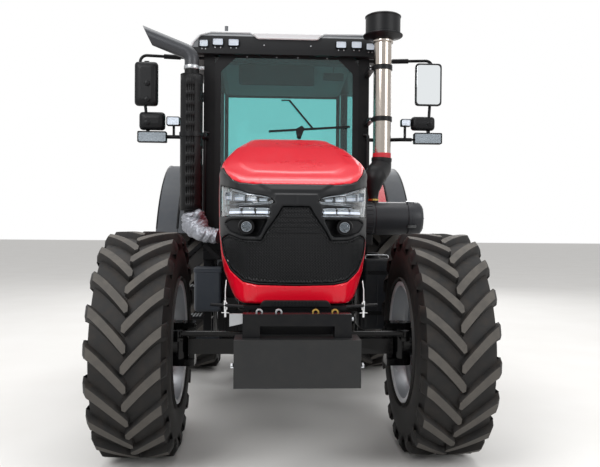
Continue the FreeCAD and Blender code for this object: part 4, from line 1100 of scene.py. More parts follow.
@dataclass
class Bonnet:
    """Red bonnet, black mask, perforated grilles, lamps and hinge ears, all on the bonnet's body."""

    form: BonnetForm = field(default_factory=BonnetForm)
    wall: float = 0.005
    gap: float = 0.0018
    mask: tuple = ((0.0, 1.182), (0.224, 1.187), (0.313, 1.203), (0.393, 1.263), (0.443, 1.349),
                   (0.467, 1.465), (0.480, 1.585))
    brow: tuple = ((0.424, 1.856), (0.381, 1.809), (0.333, 1.790), (0.258, 1.782), (0.155, 1.778),
                   (0.0, 1.779))
    grille: tuple = ((0.0, 1.194), (0.222, 1.199), (0.308, 1.214), (0.385, 1.271), (0.433, 1.354),
                     (0.455, 1.446), (0.440, 1.462), (0.405, 1.478), (0.325, 1.450), (0.205, 1.448),
                     (0.176, 1.500), (0.108, 1.598), (0.080, 1.647), (0.0, 1.647))
    lamp: tuple = ((0.150, 1.588), (0.463, 1.588), (0.463, 1.785), (0.441, 1.776), (0.397, 1.759),
                   (0.287, 1.727), (0.184, 1.713), (0.147, 1.695), (0.125, 1.666), (0.198, 1.661),
                   (0.340, 1.650), (0.340, 1.642), (0.158, 1.638))
    pocket: tuple = ((0.160, 1.576), (0.396, 1.576), (0.438, 1.552), (0.403, 1.496), (0.323, 1.468),
                     (0.213, 1.466))
    hexagon: tuple = ((0.0, 1.720), (0.125, 1.720), (0.160, 1.640), (0.168, 1.585), (0.228, 1.452),
                      (0.205, 1.440), (0.178, 1.500), (0.108, 1.598), (0.080, 1.647), (0.0, 1.647))
    lid: tuple = ((0.0, 1.861), (0.258, 1.872), (0.314, 1.898), (0.354, 1.945), (0.330, 2.060),
                  (0.290, 2.300), (0.0, 2.400))
    vent: tuple = ((-0.150, 1.522), (-0.110, 1.785), (0.520, 1.872), (0.690, 1.872), (0.612, 1.560))

    def relief(self, p: Array) -> Array:
        """Height of the moulded forms over the plain surface, in metres, at surface points.

        Each form is its height times a smooth step of the distance to its outline seen from the front.
        """
        xz = np.column_stack([np.abs(p[:, 0]), p[:, 2]])
        near = p[:, 1] < front(-0.10)
        total = np.zeros(len(p))

        def step(outline: Sequence, height: float, width: float) -> Array:
            d = outline_distance(xz, outline)
            u = np.clip(0.5 - d / width, 0, 1)
            return height * u * u * (3 - 2 * u)

        total += np.where(near, step(self.hexagon, 0.010, 0.012), 0)
        total += np.where(near, step([(-0.1, 1.738), (0.150, 1.738), (0.225, 1.783), (-0.1, 1.783)], 0.006,
                                     0.010), 0)
        total -= np.where(near, step(self.lamp, 0.004, 0.010), 0)
        lid = np.where(p[:, 1] < front(1.30), step([(-0.1, 1.861), *self.lid[1:-1], (-0.1, 2.40)], 0.0045,
                0.016), 0)
        # The cap bulges over its lower edge like a lip
        lip = 0.007 * np.exp(-((xz[:, 1] - 1.815 - 0.30 * np.maximum(xz[:, 0] - 0.30,
                0)) / 0.030) ** 2) * near
        return total + lid + lip

    def region(self, loops: list[Array], step: float, name: str, finish, wall: float,
               keep: Callable[[Array], Array], sink: float = 0.0, relief: bool = True) -> Item:
        """A panel of the bonnet: triangles between outlines in the surface's parameters, given a wall.

        Args:
            loops: Closed outlines as parameters (heading, elevation); all of them become edges.
            step: Spacing of the points inside, in parameters.
            name: Piece name.
            finish: Its finish.
            wall: Thickness in metres, inwards.
            keep: Says which triangles stay, from their middles' parameters.
            sink: How far under the surface it lies.
            relief: Whether the moulded forms are added.

        Returns:
            The panel.
        """
        corners = np.vstack(loops)
        low, high = corners.min(0) + step * 0.3, corners.max(0) - step * 0.3
        a, b = np.meshgrid(np.arange(low[0], high[0], step), np.arange(low[1], high[1], step), indexing="ij")
        b = b + (np.arange(a.shape[0]) % 2)[:, None] * step * 0.5
        inside = np.column_stack([a.ravel(), b.ravel()])
        clear = np.ones(len(inside), bool)
        for loop in loops:
            if len(loop) > 12:
                clear &= np.abs(outline_distance(inside, loop)) > step * 0.45
        inside = inside[clear & keep(inside)]
        edges, base = [], 0
        for loop in loops:
            k = np.arange(len(loop))
            edges += np.column_stack([base + k, base + (k + 1) % len(loop)]).tolist()
            base += len(loop)
        flat = np.vstack([corners, inside])
        out = delaunay_2d_cdt([Vector(v) for v in flat.tolist()], edges, [], 0, 1e-7)
        st = np.array([tuple(v) for v in out[0]])
        tris = np.array([f for f in out[2] if len(f) == 3])
        tris = tris[keep(st[tris].mean(1))]
        used, tris = np.unique(tris, return_inverse=True)
        tris = tris.reshape(-1, 3)
        p = self.form.surface(st[used])
        n = self.form.normals(p)
        height = self.relief(p) if relief else np.zeros(len(p))
        p = p + n * (height - sink)[:, None]
        sides = np.cross(p[tris[:, 1]] - p[tris[:, 0]], p[tris[:, 2]] - p[tris[:, 0]])
        turned = (sides * n[tris[:, 0]]).sum(1) < 0
        tris[turned] = tris[turned][:, ::-1]
        piece = make_piece(name, p, tris, finish, "bonnet", smooth=50)
        if wall:
            add_wall(piece, wall)
        return piece

    def front_loop(self, outline: Sequence, gap: float, side: int = 0, radius: float = 0.012,
                   step: float = 0.012) -> Array:
        """An outline seen from the front, as parameters; side 0 takes both halves as one outline."""
        outline = both_halves(outline) if side == 0 else np.asarray(outline, float) * (side, 1)
        points = moved_in(divided(rounded_outline(outline, radius), step), gap)
        return self.form.parameters(self.form.from_front(points))

    def mask_loop(self, gap: float) -> Array:
        """The mask's edge: the chin's inner curve, the corner behind the lamps and the brow."""
        chin = self.form.from_front(divided_line(self.mask, 0.012))
        brow = self.form.from_front(divided_line(self.brow, 0.012))
        back = [(-0.245, 1.600), (-0.205, 1.700), (-0.200, 1.800), (-0.215, 1.905), (-0.270, 1.900)]
        corner = self.form.from_side(divided_line(back, 0.012), 1)
        half = np.vstack([chin, corner, brow])
        other = (half * (-1, 1, 1))[::-1]
        loop = self.form.parameters(np.vstack([half, other[np.abs(other[:, 0]) > 1e-9]]))
        return moved_in(loop, gap / self.form.reach)

    def build(self) -> None:
        """Make all the pieces on the bonnet."""
        gap = self.gap
        mask_out, mask_in = self.mask_loop(-gap), self.mask_loop(gap)
        lamps_out = [self.front_loop(self.lamp, -gap, s, 0.008) for s in (1, -1)]
        lamps_in = [self.front_loop(self.lamp, gap * 0.3, s, 0.008) for s in (1, -1)]
        pockets = [self.front_loop(self.pocket, 0.0, s, 0.020) for s in (1, -1)]
        grille_out, grille_in = self.front_loop(self.grille, -gap * 0.6), self.front_loop(self.grille,
                gap * 0.3)
        self.red_panels(mask_out)

        def in_mask(p: Array) -> Array:
            stays = outline_distance(p, mask_in) < 0
            for loop in (*lamps_out, *pockets, grille_out):
                stays &= outline_distance(p, loop) > 0
            return stays

        piece = self.region([mask_in, *lamps_out, *pockets, grille_out], 0.016, "nose_mask_moulding",
                            BLACK_ABS, 0.004, in_mask)
        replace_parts(piece, "nose_mask")
        self.perforated(grille_in, "nose_grille_mesh", "grille")
        ribs = Solid()
        thick, thin = 0.0030, 0.0018
        for z, half, r in ((1.496, 0.150, thick), (1.526, 0.138, thin), (1.555, 0.126, thin),
                           (1.584, 0.114, thin), (1.613, 0.101, thin), (1.642, 0.088, thin)):
            at = self.form.from_front(divided_line([(-half, z), (half, z)], 0.02))
            ribs.tube(at - self.form.normals(at) * 0.004, r, 8)
        ribs.piece("nose_grille_ribs", BLACK_ABS, "bonnet", smooth=50)
        self.region([grille_in], 0.05, "grille_backing_net", HOSE_RUBBER, 0.002,
                    lambda p: outline_distance(p, grille_in) < 0.010, sink=0.013, relief=False)
        for side, lens_loop, pocket in zip((1, -1), lamps_in, pockets):
            self.headlamp(side, lens_loop)
            self.fog_lamp(side, pocket)
        self.side_grilles()

    def red_panels(self, mask_out: Array) -> None:
        """The red bonnet: top, sides and chin as one moulding with a rolled edge."""
        edge = [(1.2535, 2.300), (1.2535, 1.502), (-0.195, 1.303), (-0.425, 1.077)]
        right = self.form.from_side(divided_line(edge, 0.02), 1)
        chin = divided_line([(0.40, 1.077), (0.0, 1.077)], 0.02)
        centre = self.form.from_front(chin[chin[:, 0] < right[-1, 0] - 0.01])
        right = right[right[:, 0] > 0.30]
        st = self.form.parameters(np.vstack([right, centre]))[::-1]
        ridge = (np.pi / 2 + (1.2535 + 0.20) / self.form.reach, np.pi / 2 - 1e-6)
        corner = [(ridge[0], e) for e in np.linspace(st[-1, 1], ridge[1], 12)[1:]]
        half = np.vstack([st, corner])
        level = np.column_stack([np.linspace(ridge[0], -ridge[0], 80)[1:-1], np.full(78, ridge[1])])
        loop = np.vstack([half, level, (half * (-1, 1))[::-1][:-1]])
        vents = [self.form.parameters(self.form.from_side(moved_in(divided(rounded_outline(self.vent, 0.05),
                0.02), -0.002), s)) for s in (1, -1)]

        def is_red(p: Array) -> Array:
            stays = (outline_distance(p, loop) < 0) & (outline_distance(p, mask_out) > 0)
            for vent in vents:
                stays &= outline_distance(p, vent) > 0
            return stays

        piece = self.region([loop, mask_out, *vents], 0.022, "bonnet_skin", RED_ENAMEL, self.wall, is_red)
        merge(piece, 1e-4)
        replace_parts(piece, "bonnet")
        ears = Solid()
        y, z = front(1.232), 2.170
        for x0 in (0.2305, -0.2515):
            outline = [(y - 0.026, 2.240), (y - 0.026, z), (y - 0.018, z - 0.018), (y, z - 0.024),
                       (y + 0.016, z - 0.018), (y + 0.020, z), (y + 0.020, 2.240)]
            ears.prism(outline, "x", x0, x0 + 0.021)
        ears.piece("bonnet_hinge_ears", BLACK_POWDER, "bonnet", smooth=40, bevel=0.0015)

    def perforated(self, loop: Array, name: str, node: str) -> None:
        """Grille sheet with staggered upright slots; each slot is a hole with six corners."""
        low, high = loop.min(0), loop.max(0)
        wide, tall = 0.0195, 0.034
        a, b = np.meshgrid(np.arange(low[0], high[0], wide), np.arange(low[1], high[1], tall), indexing="ij")
        b = b + (np.arange(a.shape[0]) % 2)[:, None] * tall / 2
        middles = np.column_stack([a.ravel(), b.ravel()])
        middles = middles[outline_distance(middles, loop) < -0.020]
        turn = np.array([(-0.0052, -0.0095), (0.0, -0.0125), (0.0052, -0.0095), (0.0052, 0.0095),
                         (0.0, 0.0125), (-0.0052, 0.0095)])
        holes = [m + turn for m in middles]

        def solid_part(p: Array) -> Array:
            cell = p - low
            column = np.round(cell[:, 0] / wide)
            offset = (column % 2) * tall / 2
            du = cell[:, 0] - column * wide
            row = np.round((cell[:, 1] - offset) / tall)
            dv = cell[:, 1] - offset - row * tall
            centre = np.column_stack([low[0] + column * wide, low[1] + offset + row * tall])
            whole = outline_distance(centre, loop) < -0.020
            in_hole = (np.abs(du) < 0.0052) & (np.abs(dv) + np.abs(du) * 0.577 < 0.0126) & whole
            return (outline_distance(p, loop) < 0) & ~in_hole

        piece = self.region([loop, *holes], 0.05, name, BLACK_ABS, 0.0025, solid_part, sink=0.006,
                            relief=False)
        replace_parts(piece, node)

    def side_grilles(self) -> None:
        """Perforated panels on both sides."""
        for word, side in SIDES:
            outline = divided(rounded_outline(self.vent, 0.05), 0.02)
            loop = self.form.parameters(self.form.from_side(moved_in(outline, 0.001), side))
            low, high = loop.min(0), loop.max(0)
            a, b = np.meshgrid(np.arange(low[0], high[0], 0.045), np.arange(low[1], high[1], 0.030),
                               indexing="ij")
            a = a + (np.arange(a.shape[1]) % 2)[None, :] * 0.0225
            middles = np.column_stack([a.ravel(), b.ravel()])
            middles = middles[outline_distance(middles, loop) < -0.035]
            turn = np.array([(-0.017, 0.0), (-0.012, -0.0085), (0.012, -0.0085), (0.017, 0.0),
                             (0.012, 0.0085), (-0.012, 0.0085)])
            holes = [m + turn for m in middles]

            def solid_part(p: Array, loop: Array = loop, middles: Array = middles) -> Array:
                near = np.abs(p[:, None, :] - middles[None]) / (0.0165, 0.0085)
                in_hole = ((near[..., 1] < 0.99) & (near[..., 0] + near[..., 1] * 0.28 < 1.0)).any(1)
                return (outline_distance(p, loop) < 0) & ~in_hole

            piece = self.region([loop, *holes], 0.08, "side_grille_" + word, BLACK_ABS, 0.003, solid_part,
                                sink=0.004, relief=False)
            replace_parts(piece, "side_grilles")

    def headlamp(self, side: int, loop: Array) -> None:
        """Clear lens over a black bowl with reflector boxes, bright blades and a light guide in cells."""
        word = "left" if side > 0 else "right"
        lens = self.region([loop], 0.014, "headlamp_lens_" + word, LENS, 0.003,
                           lambda p: outline_distance(p, loop) < 0, sink=0.001)
        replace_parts(lens, "headlamps")
        smaller = moved_in(loop, 0.004)
        self.region([smaller], 0.016, "headlamp_bowl_" + word, BLACK_ABS, 0.003,
                    lambda p: outline_distance(p, smaller) < 0, sink=0.052, relief=False)
        bright, white = Solid(), Solid()
        for x, z, wide, tall in ((0.195, 1.688, 0.026, 0.011), (0.262, 1.694, 0.030, 0.017),
                                 (0.338, 1.706, 0.036, 0.026), (0.405, 1.716, 0.022, 0.030)):
            at = self.form.from_front(np.array([[side * x, z]]))[0]
            outline = rounded_outline([(at[0] - wide, z - tall), (at[0] + wide, z - tall),
                                       (at[0] + wide, z + tall * 0.9), (at[0] - wide, z + tall * 0.6)],
                                      0.008, 4)
            bright.shaped(outline, "y", [(at[1] + 0.050, 0.0), (at[1] + 0.014, 0.0), (at[1] + 0.014, 0.002),
                                         (at[1] + 0.040, 0.006)])
            inside = [(at[0] - wide * 0.7, z - tall * 0.7), (at[0] + wide * 0.7, z - tall * 0.7),
                      (at[0] + wide * 0.7, z), (at[0] - wide * 0.7, z - tall * 0.1)]
            white.shaped(inside, "y", [(at[1] + 0.041, 0.0), (at[1] + 0.034, 0.0005)])
        blades = (
            ((0.140, 1.676), (0.200, 1.672), (0.330, 1.664), (0.440, 1.655), 0.007, 0.012),
            ((0.152, 1.700), (0.210, 1.712), (0.300, 1.722), (0.385, 1.746), 0.006, 0.010),
            ((0.425, 1.612), (0.436, 1.660), (0.440, 1.710), (0.434, 1.760), 0.010, 0.014),
            ((0.446, 1.606), (0.455, 1.660), (0.457, 1.715), (0.452, 1.768), 0.005, 0.010),
            ((0.165, 1.594), (0.240, 1.593), (0.330, 1.593), (0.415, 1.596), 0.004, 0.010),
        )
        for *points, r, sink in blades:
            line = divided_line(points, 0.01) * (side, 1)
            at = self.form.from_front(line)
            at = at - self.form.normals(at) * sink
            bright.tube(at, r, 8)
        line = divided_line([(0.166, 1.622), (0.415, 1.622)], 0.008) * (side, 1)
        at = self.form.from_front(line)
        n = self.form.normals(at)
        up = np.array([0.0, 0.0, 1.0])
        for cell in np.array_split(np.arange(len(at)), 3):
            inner = cell[:-1]
            for solid, top, low, depth in ((white, -0.002, 0.016, 0.007), (bright, 0.015, 0.001, 0.011)):
                rings = np.stack([np.stack([at[k] - n[k] * depth + up * top,
                                            at[k] - n[k] * 0.022 + up * (top - 0.002),
                                            at[k] - n[k] * 0.022 - up * (low - 0.002),
                                            at[k] - n[k] * depth - up * low]) for k in inner])
                solid.loft(rings)
        bright.piece("headlamp_reflectors_" + word, LAMP_REFLECTOR, "bonnet", smooth=50)
        white.piece("headlamp_guides_" + word, LED_WHITE, "bonnet", smooth=50)

    def fog_lamp(self, side: int, pocket: Array) -> None:
        """Recess whose walls run back from the pocket's edge, with a round lamp on its floor."""
        word = "left" if side > 0 else "right"
        edge = self.form.surface(pocket)
        n = self.form.normals(edge)
        middle = edge.mean(0)
        steps = ((0.000, 1.00, 0.0), (0.004, 0.985, 0.0), (0.030, 0.93, 0.5), (0.055, 0.88, 1.0))
        rings = []
        for depth, scale, flat in steps:
            ring = middle + (edge - n * depth * (1 - flat) - middle) * scale
            back = edge + np.array([0.0, depth, 0.0])
            level = middle[1] + depth + (edge[:, 1] - middle[1]) * 0.5
            ring[:, 1] = np.where(flat > 0, back[:, 1] * (1 - flat) + level * flat, ring[:, 1])
            rings.append(ring)
        solid = Solid()
        stack = np.stack(rings)
        rows, columns = stack.shape[:2]
        faces = grid_faces(rows, columns, False,
                           True).tolist() + [list(range((rows - 1) * columns, rows * columns))]
        solid.add(stack, faces)
        piece = solid.piece("fog_pocket_" + word, BLACK_ABS, "bonnet", smooth=40)
        add_wall(piece, 0.002)
        lamp, lens = Solid(), Solid()
        at = self.form.from_front(np.array([[side * 0.292, 1.528]]))[0] + np.array([0.0, 0.018, 0.0])
        lamp.lathe([(0.0, 0.026), (-0.004, 0.028), (-0.004, 0.0305), (0.004, 0.032), (0.052, 0.033),
                    (0.052, 0.0), (0.030, 0.0), (0.024, 0.010), (0.006, 0.024)], at, "y", 48)
        Solid().lathe([(0.002, 0.0335), (-0.002, 0.036), (-0.002, 0.046), (0.004, 0.050), (0.030, 0.050),
                       (0.030, 0.0335)], at, "y", 48).piece("fog_lamp_bezel_" + word, BLACK_POWDER,
                "bonnet", smooth=40)
        lamp.piece("fog_lamp_body_" + word, LAMP_REFLECTOR, "bonnet", smooth=40)
        lens.lathe([(-0.007, 0.0), (-0.006, 0.012), (-0.001, 0.024), (0.003, 0.024), (-0.003, 0.012),
                    (-0.004, 0.0)], at, "y", 48)
        lens.piece("fog_lamp_lens_" + word, LENS, "bonnet", smooth=40)


def divided_line(line: Sequence, step: float) -> Array:
    """Add even points along an open line, at most step apart."""
    line = np.asarray(line, float)
    counts = np.maximum(1, np.ceil(np.linalg.norm(np.diff(line, axis=0), axis=1) / step).astype(int))
    parts = [a + (b - a) * np.linspace(0, 1, n, endpoint=False)[:, None] for a, b,
             n in zip(line, line[1:], counts)]
    return np.vstack([*parts, line[-1:]])


def merge(piece: Item, distance: float) -> None:
    """Join a mesh's points that lie within distance and drop what collapses."""
    work = bmesh.new()
    work.from_mesh(piece.data)
    bmesh.ops.remove_doubles(work, verts=work.verts, dist=distance)
    bmesh.ops.dissolve_degenerate(work, edges=work.edges, dist=distance)
    work.to_mesh(piece.data)
    work.free()
    piece.data.shade_smooth()
    piece.data.set_sharp_from_angle(angle=math.radians(50))


# Stacks

@dataclass
class Exhaust:
    """Slotted guard round the silencer, wrapped elbow, bright clamp and a bent tail with an open mouth."""

    x: float = -0.815
    y: float = front(1.150)
    guard: float = 0.095
    pipe: float = 0.062
    low: float = 1.660
    high: float = 2.807

    def slotted_guard(self) -> None:
        """Turned sheet on a grid whose lines run along the slots' edges, with the slots' cells left open."""
        groups = -np.pi / 2 + np.arange(4) * np.pi / 2
        slots = (groups[:, None] + (np.arange(4) - 1.5) * 0.200).ravel()
        plain = (groups[:, None] + np.linspace(0.46, 1.11, 4)).ravel()
        turn = np.concatenate([slots - 0.042, slots + 0.042, plain])
        opens = np.concatenate([np.ones(16, bool), np.zeros(32, bool)])
        order = np.argsort(turn)
        turn, opens = turn[order], opens[order]
        bottom = self.low + 0.055 + 0.086 * np.arange(12)
        levels = np.sort(np.concatenate([bottom, bottom + 0.053, [self.low, self.high]]))
        across = np.column_stack([self.x + self.guard * np.cos(turn), self.y + self.guard * np.sin(turn)])
        points = np.stack([np.column_stack([across, np.full(len(turn), z)]) for z in levels])
        rows, columns = points.shape[:2]
        quads = grid_faces(rows, columns, False, True)
        row, column = np.divmod(np.arange(len(quads)), columns)
        hole = opens[column] & (row % 2 == 1) & (row < rows - 2)
        sheet = make_piece("exhaust_guard_sheet", points.reshape(-1, 3), quads[~hole], STOVE_BLACK,
                           "chassis", 30)
        add_wall(sheet, 0.002)
        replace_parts(sheet, "exhaust_shield")
        ends = Solid()
        for z in (self.low - 0.001, self.high - 0.006):
            ends.lathe([(z, self.pipe + 0.001), (z, self.guard + 0.0005), (z + 0.007, self.guard + 0.0005),
                        (z + 0.007, self.pipe + 0.001)], (self.x, self.y, 0), "z", 48)
        ends.piece("exhaust_guard_ends", STOVE_BLACK, smooth=30)

    def build(self) -> None:
        """Make guard, pipe, tail, clamp and wrap."""
        self.slotted_guard()
        x, y = self.x, self.y
        along = np.array([-368.0, 0.0, 144.0])
        along /= np.linalg.norm(along)
        corner = np.array([x, y, 2.987])
        path = bent([(x, y, 2.852), corner, corner + along * 0.36], 0.130, 16)
        outer, inner = pipe_rings(path, self.pipe, 32), pipe_rings(path, self.pipe - 0.004, 32)
        # The mouth is cut on a slant through (-1.226, 3.209) and (-1.147, 3.048)
        normal = np.array([-0.898, 0.0, -0.4405])
        for rings in (outer, inner):
            reach = (np.array([-1.1865, y, 3.1285]) - rings[-1]) @ normal / (along @ normal)
            rings[-1] += reach[:, None] * along
        tail = Solid().loft(np.concatenate([outer, inner[:7:-1]]))
        piece = tail.piece("exhaust_tail", TAIL_GREY, smooth=40)
        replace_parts(piece, "exhaust_pipe")
        lower = Solid().lathe([(1.60, 0.0), (1.60, self.pipe), (2.862, self.pipe), (2.862, 0.0)], (x, y, 0),
                              "z", 40)
        piece = lower.piece("exhaust_riser", STOVE_BLACK, smooth=40)
        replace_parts(piece, "exhaust_pipe")
        r = self.pipe
        clamp = Solid().lathe([(2.852, r), (2.852, r + 0.004), (2.856, r + 0.006), (2.880, r + 0.006),
                               (2.884, r + 0.004), (2.884, r)], (x, y, 0), "z", 40)
        clamp.shaped([(x + 0.060, y - 0.010), (x + 0.104, y - 0.008), (x + 0.104, y + 0.008),
                      (x + 0.060, y + 0.010)], "z", [(2.856, 0.0), (2.880, 0.0)])
        clamp.bolts([[x + 0.086, y - 0.008, 2.868]], FORWARD, 0.008, 0.007)
        clamp.piece("exhaust_clamp", ZINC_STEEL)
        path = bent([(x + 0.010, y, 1.662), (x + 0.034, y, 1.540), (-0.712, front(1.040), 1.462),
                     (-0.572, front(1.000), 1.442)], 0.045, 10)
        wrap = self.crumpled(path, [0.0, 0.06, 0.30, 0.46, 0.60, 1.0],
                             [0.045, 0.088, 0.104, 0.088, 0.064, 0.058])
        knot = self.crumpled(np.array([(-0.752, y - 0.070, 1.590), (-0.746, y - 0.078, 1.625),
                                       (-0.734, y - 0.074, 1.668)]), [0.0, 0.5, 0.8, 1.0],
                             [0.034, 0.042, 0.030, 0.008])
        bracket = Solid()
        for foot in ((-0.828, 1.278), (-0.574, 1.256)):
            top, foot = np.array([-0.709, 1.385]), np.array(foot)
            along = (foot - top) / np.linalg.norm(foot - top)
            across = np.array([-along[1], along[0]]) * 0.016
            bracket.shaped([top + across, foot + across, foot - across, top - across], "y",
                           [(front(1.070), 0.001), (front(1.071), 0.0), (front(1.080), 0.0)])
        bracket.piece("exhaust_bracket", BLACK_POWDER)
        piece = Solid().loft(wrap).loft(knot).piece("exhaust_foil_wrap", FOIL_WRAP, smooth=60)
        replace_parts(piece, "exhaust_pipe")

    @staticmethod
    def crumpled(path: Array, places: Sequence, radii: Sequence) -> Array:
        """Rings round a path with sharp irregular folds, as of a soft wrap tied round a pipe.

        Args:
            path: Points of the middle line.
            places: Shares of the length, 0 to 1.
            radii: Radius at each place.

        Returns:
            Rings (n, 56, 3).
        """
        path = divided_line(path, 0.005)
        rings = pipe_rings(path, 1.0, 56)
        middle = rings.mean(1, keepdims=True)
        share = np.linspace(0, 1, len(path))
        # Ridged sines at unlike slants: |sin| gives the sharp creases
        k, turn = np.arange(len(path))[:, None], turns(56)[None, :]
        folds = (0.50 * np.abs(np.sin(1.5 * turn + 0.23 * k + 0.6))
                 + 0.32 * np.abs(np.sin(4 * turn - 0.31 * k + 1.1 * np.sin(0.2 * k)))
                 + 0.26 * np.abs(np.sin(2 * turn + 0.52 * k + np.sin(3 * turn)))
                 + 0.12 * np.abs(np.sin(7 * turn + 0.8 * k)))
        size = np.interp(share, places, radii)[:, None] * (0.88 + 0.22 * folds)
        return middle + (rings - middle) * size[..., None]


@dataclass
class Intake:
    """Polished intake tube with its pre-cleaner, rubber elbow, clamps and the ribbed air filter below."""

    x: float = 0.805
    y: float = front(1.100)
    pipe: float = 0.076
    low: float = 2.112
    high: float = 3.126
    filter_y: float = front(0.950)
    filter_z: float = 1.603

    def build(self) -> None:
        """Make tube, elbow, clamps, pre-cleaner and filter."""
        x, y, r = self.x, self.y, self.pipe
        tube = Solid().lathe([(self.low + 0.012, 0.0), (self.low + 0.012, r), (self.high - 0.032, r),
                              (self.high - 0.030, r + 0.010), (self.high - 0.026, r + 0.012),
                              (self.high - 0.004, r + 0.012), (self.high, r + 0.009), (self.high, 0.0)],
                             (x, y, 0), "z", 64)
        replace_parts(tube.piece("intake_tube_polished", POLISHED_STAINLESS, smooth=40), "intake_pipe")
        Solid().lathe([(self.low + 0.006, r - 0.002), (self.low + 0.006, r + 0.002),
                       (self.low + 0.048, r + 0.002), (self.low + 0.048, r - 0.002)], (x, y, 0), "z",
                      48).piece("intake_seal_band", RED_SILICONE, smooth=40)
        path = bent([(x, y, self.low + 0.008), (x - 0.004, y, 2.040), (0.728, front(0.985), 1.955),
                     (0.714, front(0.970), 1.840), (0.715, front(0.970), 1.700)], 0.07, 8)
        path = divided_line(path, 0.008)
        z = path[:, 2]
        radius = np.interp(z, [1.70, 1.79, 1.83, 1.90, 1.96, 2.03, 2.085, 2.092, 2.13],
                           [0.042, 0.042, 0.051, 0.077, 0.094, 0.091, 0.083, 0.0865, 0.0865])
        elbow = Solid().loft(pipe_rings(path, radius, 40))
        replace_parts(elbow.piece("intake_elbow_moulded", HOSE_RUBBER, smooth=50), "intake_elbow")
        clamps = Solid()
        at = np.array([0.715, front(0.970), 1.757])
        clamps.lathe([(-0.007, 0.040), (-0.007, 0.0455), (0.007, 0.0455), (0.007, 0.040)], at, "z", 40)
        clamps.shaped(flat_box(at[0] - 0.012, at[1] - 0.058, at[0] + 0.012, at[1] - 0.044),
                      "z", [(1.750, 0.001), (1.764, 0.001)])
        clamps.piece("elbow_hose_clamp", BRASS_EYE, smooth=40)
        steel = Solid()
        for at_x, at_y, z, apart in ((x - 0.105, y - 0.012, 2.449, 0.012),
                                     (x - 0.105, y - 0.012, 2.885, 0.012),
                                     (-0.725, front(1.150) - 0.001, 2.300, 0.009)):
            steel.bolts([[at_x, at_y, z + s * apart] for s in (-1, 1)], FORWARD, 0.007, 0.006)
        steel.piece("stack_clamp_bolts", ZINC_STEEL)
        self.head()
        self.filter()

    def head(self) -> None:
        """Pre-cleaner: funnel, brim, plain bowl and a domed lid."""
        x, y, z = self.x, self.y, self.high
        body = Solid().lathe([(0.0, 0.0), (0.0, 0.084), (0.010, 0.100), (0.026, 0.166), (0.030, 0.169),
                              (0.036, 0.169), (0.040, 0.160), (0.043, 0.148), (0.182, 0.148),
                              (0.186, 0.153), (0.194, 0.153), (0.202, 0.142), (0.212, 0.090), (0.215, 0.0)],
                             (x, y, z), "z", 64)
        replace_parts(body.piece("precleaner_bowl", BLACK_ABS), "precleaner")

    def filter(self) -> None:
        """Air filter: canister with length ribs, a banded end cap with crossed ribs, and four clips."""
        y, z = self.filter_y, self.filter_z
        canister = Solid().lathe([(0.560, 0.0), (0.560, 0.129), (0.572, 0.137), (0.700, 0.137),
                                  (0.704, 0.133), (0.716, 0.133), (0.720, 0.137), (0.984, 0.137),
                                  (0.986, 0.146), (1.016, 0.146), (1.018, 0.139), (1.080, 0.137),
                                  (1.092, 0.132), (1.110, 0.112), (1.112, 0.088), (1.106, 0.084),
                                  (1.106, 0.0)], (0, y, z), "x", 64)
        for a in np.arange(4) * np.pi / 4:
            c, s = math.cos(a) * 0.112, math.sin(a) * 0.112
            canister.tube([(1.107, y - c, z - s), (1.110, y - c * 0.4, z - s * 0.4),
                           (1.110, y + c * 0.4, z + s * 0.4), (1.107, y + c, z + s)], 0.006, 8)
        for a in turns(24):
            c, s = math.cos(a), math.sin(a)
            ring = [(y + c * r - s * t, z + s * r + c * t) for r,
                    t in ((0.134, -0.003), (0.141, -0.003), (0.141, 0.003), (0.134, 0.003))]
            canister.prism(ring, "x", 0.600, 0.690)
        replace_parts(canister.piece("air_filter_canister", FILTER_GREY), "air_filter")
        clips = Solid()
        for a in (0.5, 1.9, 3.6, 5.1):
            c, s = math.cos(a), math.sin(a)
            for r0, r1, x0, x1 in ((0.146, 0.151, 0.975, 1.034), (0.137, 0.149, 1.034, 1.044)):
                ring = [(y + c * r - s * t, z + s * r + c * t) for r,
                        t in ((r0, -0.011), (r1, -0.011), (r1, 0.011), (r0, 0.011))]
                clips.prism(ring, "x", x0, x1)
        clips.piece("air_filter_clips", ZINC_STEEL)


# Cab

def square_lamp(frames: Solid, bright: Solid, lens: Solid, box: Sequence, face: float, back: float,
                side: int = 1) -> None:
    """A square lamp: moulded frame, reflector and clear lens, facing from back towards face.

    Args:
        frames: Gets the black housing.
        bright: Gets the reflector.
        lens: Gets the lens.
        box: Inner x, outer x, low z and high z.
        face: Y of the lens.
        back: Y of the housing's back.
        side: 1 for +X, -1 for -X.
    """
    way = 1.0 if back > face else -1.0
    x0, x1, z0, z1 = box
    outer = [(side * x, z) for x, z in rounded_box(x0, z0, x1, z1, 0.012, 5)]
    rim, inner = shrunk(outer, 0.002), shrunk(outer, 0.0065)
    rings = [np.insert(o, 1, y, axis=1) for o, y in ((outer, back), (outer, face + way * 0.004),
            (rim, face), (inner, face), (inner, back - way * 0.004))]
    frames.loft(np.stack(rings), closed=True)
    rings = [np.insert(shrunk(inner, g), 1, y, axis=1) for g, y in ((0.0, back - way * 0.002),
            (0.0, face + way * 0.012), (0.004, face + way * 0.010))]
    bright.loft(np.stack(rings))
    rings = [np.insert(shrunk(inner, g), 1, y, axis=1) for g, y in ((0.0, face + way * 0.007),
            (0.0, face + way * 0.004), (0.003, face + way * 0.001))]
    lens.loft(np.stack(rings))


